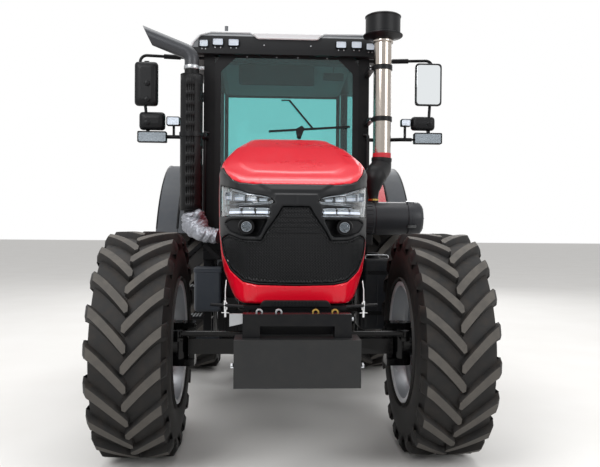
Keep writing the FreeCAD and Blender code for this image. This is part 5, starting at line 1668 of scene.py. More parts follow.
@dataclass
class Cab:
    """Roof, glass borders, lamps, wiper, door fittings and what shows through the glass."""

    glass_y: float = front(1.380)
    lamps: tuple = ((0.696, 0.767, 3.094), (0.565, 0.653, 3.108), (0.429, 0.516, 3.106))
    # Cushions: how far they swell, depth of grooves and seams, rise of the bolsters, share of the middle
    swelling: float = 0.016
    groove: float = 0.009
    seam: float = 0.007
    bolster: float = 0.030
    middle: float = 0.66
    back_tilt: float = math.radians(81)
    settling: int = 12

    def build(self) -> None:
        """Make all that belongs to the cab."""
        self.roof()
        self.glass()
        self.doors()
        self.inside()
        self.seat()

    def roof(self) -> None:
        """Grey moulding over a black lower shell, with hatch, lamps and screws."""
        dress("cab_roof", ROOF_GREY, 0.014, cuts=[(2, 3.09), (2, 3.20), (0, 0.78), (0, -0.78),
                (1, front(1.36))],
              zones=[(BLACK_ABS, lambda p: (p[:, 2] < 3.09) | ((p[:, 2] < 3.20) & (np.abs(p[:, 0]) < 0.78)
                & (p[:, 1] < front(1.36))))])
        Solid().shaped(rounded_box(-0.262, front(1.52), 0.262, front(2.35), 0.06), "z",
                       [(3.240, 0.0), (3.272, 0.0), (3.284, 0.006), (3.288, 0.020)]).piece("roof_hatch",
                BLACK_ABS)
        # The grey edge dips in the middle
        lip = Solid().shaped(rounded_outline([(-0.310, 3.228), (-0.262, 3.176), (0.262, 3.176),
                                              (0.310, 3.228)], 0.02), "y",
                             [(front(1.331), 0.004), (front(1.334), 0.0), (front(1.372), 0.0)])
        # A pale bead runs round the fascia and follows the dip
        corners = np.array([(0.0, 3.187), (0.262, 3.187), (0.325, 3.243), (0.674, 3.243), (0.769, 3.205),
                            (0.823, 3.139), (0.851, 3.083), (0.851, 3.030)])
        corners = np.concatenate([corners[::-1] * (-1, 1), corners[1:]])
        depth = np.interp(corners[:, 1], [3.03, 3.085, 3.2, 3.246], [1.312, 1.312, 1.340, 1.385])
        bead = bent(np.column_stack([corners[:, 0], front(0) + depth, corners[:, 1]]), 0.02, 6)
        lip.tube(bead, 0.0105, 12)
        lip.piece("roof_front_lip", ROOF_EDGE)
        frames, bright, lens = Solid(), Solid(), Solid()
        for x0, x1, z in self.lamps:
            square_lamp(frames, bright, lens, (x0 - 0.006, x1 + 0.006, z - 0.005, z + 0.063), front(1.302),
                        front(1.350))
        square_lamp(frames, bright, lens, (0.600, 0.700, 3.060, 3.115), front(3.138), front(3.100))
        for solid, name, finish in ((frames, "roof_lamp_frames", BLACK_ABS),
                                    (bright, "roof_lamp_reflectors", LED_WHITE),
                                    (lens, "roof_lamp_lenses", LENS)):
            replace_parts(solid.mirrored().piece(name, finish), "work_lamps")
        screws = Solid()
        for x0, x1, z in self.lamps:
            screws.bolts([[x0 + 0.020, front(1.309), z - 0.020], [x1 - 0.020, front(1.309), z - 0.020]],
                         FORWARD, 0.006, 0.005)
        for x, ya, z in ((0.094, 1.3785, 3.030), (0.355, 1.3785, 3.030), (0.205, 1.3205, 3.118)):
            screws.lathe([(0.004, 0.0), (-0.005, 0.0), (-0.004, 0.0045), (0.0, 0.0075), (0.004, 0.0075)],
                         (x, front(ya), z), "y", 16)
        screws.mirrored().piece("roof_screws", ZINC_STEEL)

    def glass(self) -> None:
        """Tinted panes with a black ceramic border and the wiper's pivot cover."""
        dress("cab_glass", TINTED_GLASS)
        for word in ("left", "right"):
            dress("door_glass_" + word, TINTED_GLASS)
        y = self.glass_y
        border = Solid()
        inner = both_halves([(0.585, 1.545), (0.585, 2.895), (0.455, 3.022)])
        outer = both_halves([(0.640, 1.500), (0.640, 2.960), (0.600, 3.036)])
        border.band(outer, inner, "y", y - 0.0012, y - 0.0002)
        border.band(both_halves([(0.655, 1.655), (0.655, 3.030)]),
                    both_halves([(0.612, 1.700), (0.612, 2.985)]), "y", front(3.0385), front(3.0395))
        border.piece("glass_borders", BLACK_ABS)
        hub = Solid().lathe([(-0.040, 0.0), (-0.040, 0.013), (-0.036, 0.020), (-0.001, 0.022),
                             (-0.001, 0.0)], (0.110, y, 2.330), "y", 32)
        hub.shaped(rounded_outline([(0.085, 2.345), (0.120, 2.300), (0.160, 2.400), (0.135, 2.425),
                                    (0.080, 2.395)], 0.01), "y", [(y - 0.036, 0.003), (y - 0.033, 0.0),
                (y - 0.020, 0.0)])
        hub.piece("wiper_pivot_cover", BLACK_ABS)

    def doors(self) -> None:
        """Door frames with grips, locks and hinge screws."""
        for word, side in SIDES:
            body = "door_" + word
            dress(body, BLACK_POWDER, 0.006)

            def out(ya: float) -> float:
                """X of the cab's slanted face at a distance behind the front axle."""
                return side * (0.735 + (ya - 1.450) / 0.990 * 0.103)

            fittings = Solid()
            grip = bent([(out(1.49) - side * 0.002, front(1.490), 1.925),
                         (out(1.49) + side * 0.020, front(1.490), 1.925),
                         (out(1.49) + side * 0.020, front(1.490), 2.055),
                         (out(1.49) - side * 0.002, front(1.490), 2.055)], 0.015)
            fittings.tube(grip, 0.0075, 12)
            fittings.lathe([(0.0, 0.0), (0.0, 0.016), (side * 0.008, 0.014), (side * 0.009, 0.0)],
                           (out(1.49), front(1.490), 2.090), "x", 24)
            fittings.piece("door_grip_" + word, ZINC_STEEL, body, smooth=40)
            screws = Solid()
            for z in (2.330, 2.820):
                for dz in (0.014, 0.036):
                    screws.lathe([(0.0, 0.0), (0.0, 0.006), (side * 0.003, 0.004), (side * 0.003, 0.0)],
                                 (side * 0.850, front(2.434), z + dz), "x", 14)
            screws.piece("door_hinge_screws_" + word, ZINC_STEEL, body, smooth=40)

    def inside(self) -> None:
        """Roof lining, visor, mirror, instrument hood, column boot and floor mat, seen through the glass."""
        Solid().shaped(rounded_outline([(-0.600, front(1.450)), (0.600, front(1.450)),
                                        (0.640, front(2.960)), (-0.640, front(2.960))], 0.08), "z",
                       [(3.0355, 0.0), (3.000, 0.010), (2.985, 0.050)]).piece("roof_lining", LINING,
                smooth=40)
        visor = Solid().shaped(rounded_box(-0.430, 2.800, 0.250, 2.985, 0.03), "y",
                               [(front(1.470), 0.004), (front(1.473), 0.0), (front(1.482), 0.0),
                                (front(1.485), 0.004)])
        visor.shaped(rounded_box(0.330, 2.860, 0.520, 2.930, 0.02), "y",
                     [(front(1.500), 0.003), (front(1.503), 0.0), (front(1.520), 0.0), (front(1.526), 0.010)])
        visor.tube([(0.425, front(1.515), 2.92), (0.425, front(1.52), 2.96), (0.425, front(1.53), 3.0)],
                   0.006, 10)
        visor.piece("sun_visor_and_mirror", BLACK_ABS)
        dress("dashboard", BLACK_ABS, 0.018)
        Solid().shaped(rounded_outline([(-0.240, front(1.452)), (0.240, front(1.452)),
                                        (0.225, front(1.640)), (-0.225, front(1.640))], 0.05), "z",
                       [(2.095, 0.0), (2.125, 0.0), (2.150, 0.020),
                        (2.160, 0.050)]).piece("instrument_hood", BLACK_ABS, smooth=40)
        boot = Solid()
        centre = np.array([0.0, front(1.990), 2.140])
        down = np.array([0.0, -math.sin(math.radians(35)), -math.cos(math.radians(35))])
        path = centre + np.outer(np.linspace(0.10, 0.22, 19), down)
        boot.tube(path, 0.047 + 0.004 * np.cos(np.arange(19) * np.pi), 28)
        boot.piece("column_boot", HOSE_RUBBER, smooth=60)
        stalks = Solid()
        for side in (1, -1):
            stalks.tube(bent([centre + down * 0.09 + (side * 0.03, 0, 0),
                              centre + down * 0.09 + (side * 0.13, 0.01, 0.0),
                              centre + down * 0.07 + (side * 0.175, 0.02, 0.0)], 0.03), 0.006, 10)
        stalks.piece("column_stalks", BLACK_ABS, smooth=40)
        Solid().shaped(rounded_box(-0.560, front(1.500), 0.560, front(2.960), 0.05), "z",
                       [(1.3002, 0.0), (1.307, 0.0), (1.309, 0.004)]).piece("floor_mat", HOSE_RUBBER,
                smooth=40)
        dress("steering_wheel", BLACK_ABS, 0.003, 50)

    def cushion(self, name: str, centre: Sequence, size: Sequence, tilt: float, channels: int) -> None:
        """Stuffed cushion: a superellipsoid blown up by cloth pressure, then sewn channels pressed in.

        Args:
            name: Piece name.
            centre: Middle of the cushion.
            size: Width, length and thickness in metres before it is blown up.
            tilt: Turn about X in radians.
            channels: Sewn lines across it.
        """
        half = np.array(size) / 2
        u, v = np.linspace(-np.pi / 2, np.pi / 2, 29), np.linspace(-np.pi, np.pi, 64, endpoint=False)
        u, v = np.meshgrid(u[1:-1], v, indexing="ij")

        def power(t: Array, e: float) -> Array:
            return np.sign(t) * np.abs(t) ** e

        # Superellipsoid: square in plan, rounded in section
        points = np.stack([power(np.cos(u), 0.35) * power(np.cos(v), 0.38),
                           power(np.cos(u), 0.35) * power(np.sin(v), 0.38), power(np.sin(u), 0.7)], axis=-1)
        solid = Solid().loft(points * half)
        piece = solid.piece(name, SEAT_CLOTH, smooth=0)
        work = piece.modifiers.new("voxels", "REMESH")
        work.mode = "VOXEL"
        work.voxel_size = 0.010
        cloth = piece.modifiers.new("cloth", "CLOTH")
        cloth.settings.use_pressure = True
        cloth.settings.uniform_pressure_force = 3.0
        cloth.settings.effector_weights.gravity = 0.0
        cloth.settings.quality = 4
        scene = bpy.context.scene
        for number in range(1, self.settling + 1):
            scene.frame_set(number)
        blown = bpy.data.meshes.new_from_object(piece.evaluated_get(bpy.context.evaluated_depsgraph_get(
                )))
        scene.frame_set(1)
        piece.modifiers.clear()
        piece.data = blown
        # The swelling is capped, and sewn lines are narrow Gaussian grooves across the upper face
        p = np.clip(points_of(piece), -half - self.swelling, half + self.swelling)
        rows = np.linspace(-half[1], half[1], channels + 2)[1:-1]
        groove = np.exp(-((p[:, 1:2] - rows) / 0.010) ** 2).sum(1) if channels else np.zeros(len(p))
        bolster = 0.5 * np.clip((np.abs(p[:, 0]) - half[0] * 0.62) / (half[0] * 0.38), 0, 1)
        p[:, 2] += np.where(p[:, 2] > 0, self.bolster * bolster
                            - self.groove * groove * (np.abs(p[:, 0]) < half[0] * self.middle), 0.0)
        seam = np.exp(-((np.abs(p[:, 0]) - half[0] * self.middle) / 0.008) ** 2)
        p[:, 2] -= np.where(p[:, 2] > 0, self.seam * seam, 0.0)
        turn = np.array([[1, 0, 0], [0, math.cos(tilt), -math.sin(tilt)],
                         [0, math.sin(tilt), math.cos(tilt)]])
        p = p @ turn.T + np.asarray(centre)
        piece.data.vertices.foreach_set("co", p.ravel())
        piece.data.update()
        piece.data.materials.clear()
        piece.data.materials.append(SEAT_CLOTH.build())
        piece.data.shade_smooth()
        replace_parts(piece, "seat")

    def seat(self) -> None:
        """Sprung seat: bellows, pan, cloth cushions, back shell and arm rests."""
        self.cushion("seat_cushion", (0.0, front(2.545), 1.775), (0.470, 0.460, 0.095), 0.03, 3)
        self.cushion("seat_back_cushion", (0.0, front(2.790), 2.150), (0.445, 0.600, 0.085), self.back_tilt,
                     4)
        hard = Solid()
        levels = np.linspace(1.305, 1.650, 15)
        for k, z in enumerate(levels[:-1]):
            grow = 0.0 if k % 2 else 0.018
            outline = rounded_box(-0.170, front(2.400), 0.170, front(2.700), 0.05)
            hard.shaped(outline, "z", [(z, 0.014), (z + 0.012, -grow), (levels[k + 1] + 0.002, 0.014)])
        hard.shaped(rounded_box(-0.235, front(2.320), 0.235, front(2.770), 0.05), "z",
                    [(1.655, 0.020), (1.668, 0.0), (1.725, 0.0), (1.732, 0.006)])
        piece = hard.piece("seat_base", BLACK_ABS)
        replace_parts(piece, "seat")
        shell = Solid()
        tilt = self.back_tilt
        along, out = np.array([0, math.cos(tilt), math.sin(tilt)]), np.array([0, math.sin(tilt),
                -math.cos(tilt)])
        outline = rounded_outline([(-0.205, -0.27), (0.205, -0.27), (0.190, 0.27), (-0.190, 0.27)], 0.06)
        middle = np.array([0.0, front(2.790), 2.150])
        rings = [middle + np.outer(shrunk(outline, g)[:, 0], (1, 0, 0)) + np.outer(shrunk(outline, g)[:, 1],
                along) + out * d for g, d in ((0.010, 0.032), (0.0, 0.045), (0.004, 0.066), (0.030, 0.078))]
        shell.loft(np.stack(rings))
        for side in (1, -1):
            arm = [(side * 0.262, front(2.800), 1.980), (side * 0.268, front(2.640), 1.985),
                   (side * 0.268, front(2.460), 1.985)]
            path = divided_line(arm, 0.03)
            rings = pipe_rings(path, 0.026, 16)
            middle_line = rings.mean(1, keepdims=True)
            shell.loft(middle_line + (rings - middle_line) * (0.85, 1.0, 0.65))
            shell.tube([(side * 0.205, front(2.790), 1.975), (side * 0.235, front(2.792), 1.978),
                        (side * 0.262, front(2.795), 1.980)], 0.014, 12)
        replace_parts(shell.piece("seat_shell_and_arms", BLACK_ABS), "seat")


# Mirrors and lamps on their arms

@dataclass
class Mirrors:
    """Two mirror heads, a position lamp and a work lamp on each side's arm."""

    y: float = front(1.340)
    left: dict = field(default_factory=lambda: {"big": (1.130, 1.366, 2.606, 2.980),
                                                "small": (1.103, 1.315, 2.392, 2.515),
                                                "marker": (1.125, 1.374, 2.270, 2.368),
                                                "lamp": (1.008, 1.097, 2.423, 2.488)})
    right: dict = field(default_factory=lambda: {"big": (1.126, 1.328, 2.570, 2.952),
            "small": (1.063, 1.286, 2.360, 2.517), "marker": (1.046, 1.296, 2.250, 2.346),
            "lamp": (0.933, 1.048, 2.398, 2.476)})

    def head(self, shells: Solid, panes: Solid, box: Sequence, side: int, forward: bool) -> None:
        """One mirror: a domed shell with a rim and, on the other face, the silvered pane.

        Args:
            shells: Gets the shell.
            panes: Gets the pane.
            box: Inner x, outer x, low z and high z.
            side: 1 for +X, -1 for -X.
            forward: Whether the pane faces forward, as on a folded arm.
        """
        x0, x1, z0, z1 = box
        outline = np.array([(side * x, z) for x, z in rounded_box(x0, z0, x1, z1, 0.035, 6)])
        y0, y1 = self.y - 0.060, self.y + 0.004
        face, dome, way = (y0, y1, 1.0) if forward else (y1, y0, -1.0)
        steps = ((face, 0.013), (face, 0.002), (face + way * 0.004, 0.0), (face + way * 0.030, 0.001),
                 (dome - way * 0.014, 0.010), (dome - way * 0.004, 0.030), (dome, 0.055))
        rings = [np.insert(shrunk(outline, g), 1, y, axis=1) for y, g in steps]
        rings.insert(0, np.insert(shrunk(outline, 0.0135), 1, face + way * 0.004, axis=1))
        shells.loft(np.stack(rings))
        pane = [np.insert(shrunk(outline, g), 1, y, axis=1) for y,
                g in ((face + way * 0.006, 0.0135), (face + way * 0.0015, 0.0135),
                      (face + way * 0.001, 0.0145))]
        panes.loft(np.stack(pane))

    def build(self) -> None:
        """Make both sides."""
        dress("mirror_arms", BLACK_POWDER, 0.001, 40)
        shells, panes, knobs = Solid(), Solid(), Solid()
        frames, bright, lens = Solid(), Solid(), Solid()
        strips = Solid()
        for size, side in ((self.left, 1), (self.right, -1)):
            self.head(shells, panes, size["big"], side, side > 0)
            self.head(shells, panes, size["small"], side, False)
            square_lamp(frames, bright, lens, size["lamp"], self.y - 0.060, self.y - 0.004, side)
            square_lamp(frames, strips, lens, size["marker"], self.y - 0.066, self.y - 0.004, side)
            x = side * (size["big"][0] + size["big"][1]) / 2
            foot = side * (1.262 if side > 0 else 1.214)
            for z in ((size["big"][2] + size["big"][3]) / 2, size["big"][2] + 0.05, size["small"][2] + 0.06):
                front_face = self.y - (0.067 if side < 0 else 0.060)
                if side < 0 or z < 2.55:
                    knobs.lathe([(0.0, 0.0), (0.0, 0.024), (-0.008, 0.024), (-0.012, 0.018), (-0.012, 0.0)],
                                (foot, front_face + 0.004, z), "y", 28)
                    knobs.bolts([[foot, front_face - 0.007, z]], FORWARD, 0.007, 0.006)
            knobs.block((x - 0.02, self.y - 0.01, size["big"][3] - 0.03),
                        (x + 0.02, self.y + 0.012, size["big"][3] + 0.012))
        sleeves = Solid()
        for size, side, low in ((self.left, 1, 2.312), (self.right, -1, 2.306)):
            stub = sum(size["lamp"][:2]) / 2 - 0.040
            path = bent([(side * 0.700, front(1.392), low), (side * 0.830, front(1.400), low),
                         (side * stub, self.y, low), (side * (stub + 0.10), self.y, low)], 0.05)
            sleeves.tube(path, 0.0165, 18)
        sleeves.piece("lamp_arm_sleeves", BLACK_POWDER, smooth=40)
        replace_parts(shells.piece("mirror_shells", BLACK_ABS, smooth=40), "mirrors")
        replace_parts(panes.piece("mirror_panes", MIRROR_GLASS, smooth=40), "mirrors")
        knobs.piece("mirror_knobs", BLACK_ABS, smooth=40)
        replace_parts(frames.piece("arm_lamp_frames", BLACK_ABS), "work_lamps")
        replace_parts(bright.piece("arm_lamp_reflectors", LED_WHITE), "work_lamps")
        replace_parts(strips.piece("position_lamp_reflectors", LAMP_REFLECTOR), "marker_lamps")
        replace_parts(lens.piece("arm_lamp_lenses", LENS), "marker_lamps")
        self.tail_lamps()

    def tail_lamps(self) -> None:
        """Rear lamps under the guards' ends: housing, red and amber lenses."""
        box, red, amber = Solid(), Solid(), Solid()
        y0, y1 = REAR_AXLE_Y + 0.860, REAR_AXLE_Y + 0.985
        outline = rounded_box(1.035, 1.680, 1.175, 1.830, 0.015)
        box.shaped(outline, "y", [(y0, 0.006), (y0 + 0.01, 0.0), (y1 - 0.012, 0.0), (y1 - 0.010, 0.006)])
        red.shaped(rounded_box(1.040, 1.756, 1.170, 1.825, 0.012), "y",
                   [(y1 - 0.012, 0.0), (y1 - 0.004, 0.0), (y1, 0.006)])
        amber.shaped(rounded_box(1.040, 1.685, 1.170, 1.752, 0.012), "y",
                     [(y1 - 0.012, 0.0), (y1 - 0.004, 0.0), (y1, 0.006)])
        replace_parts(box.mirrored().piece("tail_lamp_housings", BLACK_ABS), "marker_lamps")
        red.mirrored().piece("tail_lamp_red", RED_LENS)
        amber.mirrored().piece("tail_lamp_amber", AMBER_LENS)


# Guards, steps, tank and the ends of the tractor

@dataclass
class Outside:
    """Guards, steps, tank, tool box, front frame and rear end."""

    def build(self) -> None:
        """Make them all."""
        self.guards()
        self.sides()
        self.front_end()
        self.axle_details()
        self.engine_sides()
        self.rear_end()

    def guards(self) -> None:
        """Red guards with dark inner faces, and grey flares with two beads and their bolts."""
        dress("mudguards", RED_ENAMEL, 0.004, cuts=[(0, 0.88), (0, -0.88), (2, 2.02), (2, 1.74)],
              zones=[(GUARD_PLASTIC, lambda p: (p[:, 2] < 1.74) & (p[:, 1] < REAR_AXLE_Y)),
                     (BLACK_ABS, lambda p: (np.abs(p[:, 0]) < 0.88) & (p[:, 2] < 2.02)
                      & (p[:, 1] < REAR_AXLE_Y))])
        dress("guard_flares", GUARD_PLASTIC, 0.006)
        angle = np.linspace(math.radians(33), math.radians(154), 64)
        flare, face = 1.1985, 1.2003
        ribs, bolts = Solid(), Solid()
        for x, r in ((1.006, 0.011), (1.199, 0.007)):
            path = np.column_stack([np.full(64, x), REAR_AXLE_Y + flare * np.cos(angle),
                                    REAR_TYRE_RADIUS + flare * np.sin(angle)])
            ribs.tube(path, r, 8)
        ribs.mirrored().piece("flare_beads", BLACK_ABS, smooth=60)
        for a in np.radians([42, 62, 82, 102, 122, 142]):
            way = np.array([0.0, math.cos(a), math.sin(a)])
            bolts.bolts(np.array([0.982, REAR_AXLE_Y, REAR_TYRE_RADIUS]) + way * face, way, 0.010, 0.006)
        bolts.mirrored().piece("flare_bolts", ZINC_STEEL)

    def sides(self) -> None:
        """Steps and their grips, tank with cap, straps and rail, lower aprons, pillar rails, tool box and its
        lid.
        """
        dress("steps", BLACK_POWDER, 0.003)
        grips = Solid()
        for z in (0.445, 0.715, 0.985):
            for y in np.linspace(1.470, 1.670, 7):
                for x in np.arange(0.765, 0.965, 0.028):
                    grips.lathe([(0.0, 0.0), (0.0, 0.009), (0.003, 0.007), (0.003, 0.0)], (x, front(y), z),
                                "z", 8)
        grips.mirrored().piece("step_grips", ZINC_STEEL)
        dress("fuel_tank", TANK_POLYETHYLENE, 0.020)
        tank = Solid()
        tank.lathe([(0.0, 0.0), (0.0, 0.058), (0.012, 0.058), (0.016, 0.052), (0.046, 0.050),
                    (0.050, 0.046), (0.050, 0.0)], (0.740, front(1.120), 1.262), "z", 40)
        tank.piece("tank_cap", BLACK_ABS)
        straps = Solid()
        for z in (0.790, 1.130):
            outline = rounded_box(0.6195, front(0.9995), 0.8955, front(1.3725), 0.060, 8)
            straps.band(moved_in(outline, -0.0025), moved_in(outline, 0.002), "z", z, z + 0.035)
            straps.bolts([[0.700, front(0.9965), z + 0.0175]], FORWARD, 0.010, 0.010)
        straps.piece("tank_straps", BLACK_POWDER)
        Solid().tube(bent([(0.665, front(1.060), 1.250), (0.665, front(1.060), 1.292),
                           (0.860, front(1.060), 1.292), (0.860, front(1.060), 1.250)], 0.016), 0.0065,
                     12).piece("tank_rail", ZINC_STEEL, smooth=40)
        Solid().shaped(flat_box(0.757, 0.700, 0.765, 1.225), "y", [(front(0.9975), 0.002),
                (front(0.9985), 0.0), (front(1.002), 0.0)]).piece("tank_seam", TANK_POLYETHYLENE)
        apron = Solid().shaped(rounded_outline([(0.262, 0.540), (0.560, 0.540), (0.600, 0.610),
                                                (0.600, 1.215), (0.262, 1.215)], 0.03), "y",
                               [(front(1.384), 0.004), (front(1.388), 0.0), (front(1.396), 0.0),
                                (front(1.399), 0.003)])
        for x in (0.330, 0.430, 0.530):
            apron.shaped(flat_box(x - 0.008, 0.600, x + 0.008, 1.180), "y",
                         [(front(1.376), 0.003), (front(1.386), 0.0)])
        apron.mirrored().piece("lower_aprons", BLACK_ABS)
        Solid().tube(bent([(0.690, front(1.372), 1.480), (0.722, front(1.350), 1.480),
                           (0.722, front(1.350), 2.350), (0.690, front(1.372), 2.350)], 0.02), 0.0155,
                     14).mirrored().piece("pillar_rails", BLACK_ABS, smooth=40)
        dress("tool_box", BOX_SLATE, 0.028)
        Solid().shaped(rounded_box(-0.792, front(1.178), -0.553, front(1.374), 0.02), "z",
                       [(1.128, 0.002), (1.131, -0.002), (1.164, -0.002),
                        (1.172, 0.008)]).piece("tool_box_lid", BOX_SLATE)

    def front_end(self) -> None:
        """Ballast block, its bracket, ring bolts and pins, the slotted lip and the small ties."""
        dress("front_block", BALLAST_GREY, 0.005,
              zones=[(BLACK_POWDER, lambda p: (p[:, 2] > 0.9185) & (p[:, 2] < 1.0505)),
                     (ZINC_STEEL, lambda p: (p[:, 2] >= 1.0505) & (p[:, 0] < 0.05)),
                     (BRASS_EYE, lambda p: (p[:, 2] >= 1.0505) & (p[:, 0] >= 0.05)),
                     (ZINC_STEEL, lambda p: np.abs(p[:, 0]) > 0.3455)])
        plates = Solid().shaped([(-0.376, 0.972), (-0.297, 0.990), (-0.297, 1.045), (-0.376, 1.045)], "y",
                                [(front(-0.835), 0.001), (front(-0.833), 0.0), (front(-0.827), 0.0)])
        plates.bolts([[0.3005, front(-0.860), 1.018]], (1, 0, 0), 0.011, 0.014)
        plates.piece("bracket_end_plate", ZINC_STEEL)
        pins = Solid()
        for z in (0.770, 0.781):
            pins.lathe([(0.0, 0.0), (0.0, 0.0055), (0.017, 0.0055), (0.021, 0.003), (0.021, 0.0)],
                       (0.342, front(-0.948), z), "x", 16)
        pins.mirrored().piece("block_pins", ZINC_STEEL, smooth=40)
        Solid().shaped(rounded_box(0.320, 0.774, 0.350, 0.796, 0.006), "y",
                       [(front(-0.9598), 0.002), (front(-0.9590), 0.0),
                        (front(-0.952), 0.0)]).mirrored().piece("block_hooks", BLACK_POWDER)
        pad = Solid().shaped(rounded_outline([(-0.215, 1.060), (0.215, 1.060), (0.190, 1.098),
                                              (-0.190, 1.098)], 0.016), "y",
                             [(front(-0.668), 0.004), (front(-0.664), 0.0), (front(-0.600), 0.0)])
        for x in np.linspace(-0.130, 0.130, 14):
            pad.shaped(flat_box(x - 0.004, 1.066, x + 0.004, 1.092), "y",
                       [(front(-0.672), 0.001), (front(-0.662), 0.0)])
        pad.piece("chin_lip_pad", BLACK_ABS)
        ties = Solid().tube(bent([(0.412, front(-0.520), 1.205), (0.416, front(-0.545), 1.150),
                                  (0.416, front(-0.550), 1.075)], 0.02), 0.0028, 8)
        for x, top, low in ((0.416, 1.085, 0.985), (0.410, 1.075, 1.030)):
            ties.shaped(rounded_outline([(x - 0.007, low), (x + 0.005, low), (x + 0.008, top),
                                         (x - 0.006, top)], 0.004), "y",
                        [(front(-0.552), 0.001), (front(-0.550), 0.0), (front(-0.548), 0.0)])
        ties.tube([(0.392, front(-0.552), 1.012), (0.410, front(-0.552), 1.013),
                   (0.438, front(-0.552), 1.013)], 0.0022, 8)
        ties.mirrored().piece("corner_ties", WHITE_TIE, smooth=50)

    def axle_details(self) -> None:
        """Bolts of the carrier and the knuckles, and corrugated steering pipes on the front axle."""
        bolts = Solid()
        turn = turns(10)
        bolts.bolts(np.column_stack([0.112 * np.sin(turn) * 0.9, np.full(10, front(-0.151)),
                                     FRONT_TYRE_RADIUS + 0.112 * np.cos(turn) * 0.9]), FORWARD, 0.010,
                    0.009)
        bolts.piece("axle_bolts", ZINC_STEEL)
        for word, side in SIDES:
            caps = Solid()
            x = side * 0.760
            for z, way in ((0.842, 1), (0.588, -1)):
                caps.bolts([[x + 0.040 * math.cos(a), FRONT_AXLE_Y + 0.040 * math.sin(a), z + way * 0.0385]
                            for a in (0.8, 2.4, 3.9, 5.5)], (0, 0, way), 0.007, 0.006)
            around = turns(12)
            caps.bolts(np.column_stack([np.full(12, side * 0.846), FRONT_AXLE_Y + 0.150 * np.cos(around),
                                        FRONT_TYRE_RADIUS + 0.150 * np.sin(around)]), (-side, 0, 0), 0.009,
                       0.008)
            caps.piece("knuckle_bolts_" + word, ZINC_STEEL, "knuckle_" + word)
            hose = bent([(side * 0.252, front(-0.262), 0.868), (side * 0.300, front(-0.262), 0.925),
                         (side * 0.285, front(-0.200), 0.985), (side * 0.240, front(-0.120), 0.990)], 0.04)
            hose = divided_line(hose, 0.004)
            k = np.arange(len(hose))
            pipes = Solid().tube(hose, 0.0115 + 0.0015 * np.cos(k * np.pi), 14)
            hose = divided_line(bent([(side * 0.190, front(-0.300), 0.905),
                                      (side * 0.215, front(-0.330), 0.960),
                                      (side * 0.235, front(-0.300), 1.020)], 0.03), 0.004)
            k = np.arange(len(hose))
            pipes.tube(hose, 0.010 + 0.0015 * np.cos(k * np.pi), 14)
            pipes.piece("steering_pipes_" + word, HOSE_RUBBER, smooth=60)

    def engine_sides(self) -> None:
        """Filters, starter and rigid pipes that hang on the engine's sides and show under the bonnet."""
        parts = Solid()
        x, r = 0.330, 0.050
        for ya in (0.420, 0.560):
            parts.lathe([(0.905, 0.0), (0.905, r - 0.012), (0.915, r), (1.085, r), (1.090, r - 0.008),
                         (1.110, r - 0.008), (1.115, 0.0)], (x, front(ya), 0), "z", 32)
            parts.block((0.255, front(ya - 0.045), 1.100), (0.380, front(ya + 0.045), 1.150))
        parts.lathe([(0.0, 0.0), (0.0, 0.070), (0.015, 0.078), (0.200, 0.078), (0.215, 0.060),
                     (0.300, 0.060), (0.310, 0.0)], (0.345, front(0.740), 0.985), "y", 32)
        parts.block((0.258, front(0.72), 1.060), (0.420, front(1.12), 1.130))
        for z, ya, r in ((1.185, 0.05, 0.021), (1.235, 0.10, 0.015), (1.285, 0.02, 0.018)):
            parts.tube(bent([(0.262, front(ya), z), (0.300, front(ya), z), (0.300, front(1.10), z - 0.02),
                             (0.255, front(1.15), z - 0.02)], 0.04), r, 12)
        parts.mirrored().piece("engine_side_units", CAST_IRON, bevel=0.002)

    def rear_end(self) -> None:
        """Hitch pins, shaft guard, blank plate and the drawbar's pin."""
        pins = Solid()
        for side in (1, -1):
            x = side * 0.400
            y, z = REAR_AXLE_Y + 0.180, 0.520
            pins.lathe([(0.0, 0.0), (0.0, 0.030), (side * 0.004, 0.030), (side * 0.004, 0.0)],
                       (x - side * 0.0005, y, z), "x", 24)
            pins.tube([(x - side * 0.008, y, z - 0.028), (x - side * 0.008, y, z),
                       (x - side * 0.008, y, z + 0.028)], 0.003, 8)
        pins.lathe([(0.0, 0.0), (0.0, 0.024), (0.010, 0.024), (0.014, 0.018), (0.014, 0.0)],
                   (0.0, REAR_AXLE_Y + 0.500, 0.4205), "z", 28)
        pins.piece("hitch_pins", ZINC_STEEL)
        guard = Solid()
        outline = [(-0.130, 0.690), (-0.130, 0.800), (-0.105, 0.835), (0.105, 0.835), (0.130, 0.800),
                   (0.130, 0.690)]
        inner = [(-0.124, 0.690), (-0.124, 0.798), (-0.102, 0.829), (0.102, 0.829), (0.124, 0.798),
                 (0.124, 0.690)]
        guard.band(outline, inner, "y", REAR_AXLE_Y + 0.1205, REAR_AXLE_Y + 0.240)
        guard.piece("shaft_guard", BLACK_ABS)
        Solid().shaped(rounded_box(-0.140, 1.400, 0.140, 1.600, 0.012), "y",
                       [(front(3.0505), 0.0), (front(3.055), 0.0),
                        (front(3.056), 0.001)]).piece("blank_plate", WHITE_ENAMEL)


# Stage

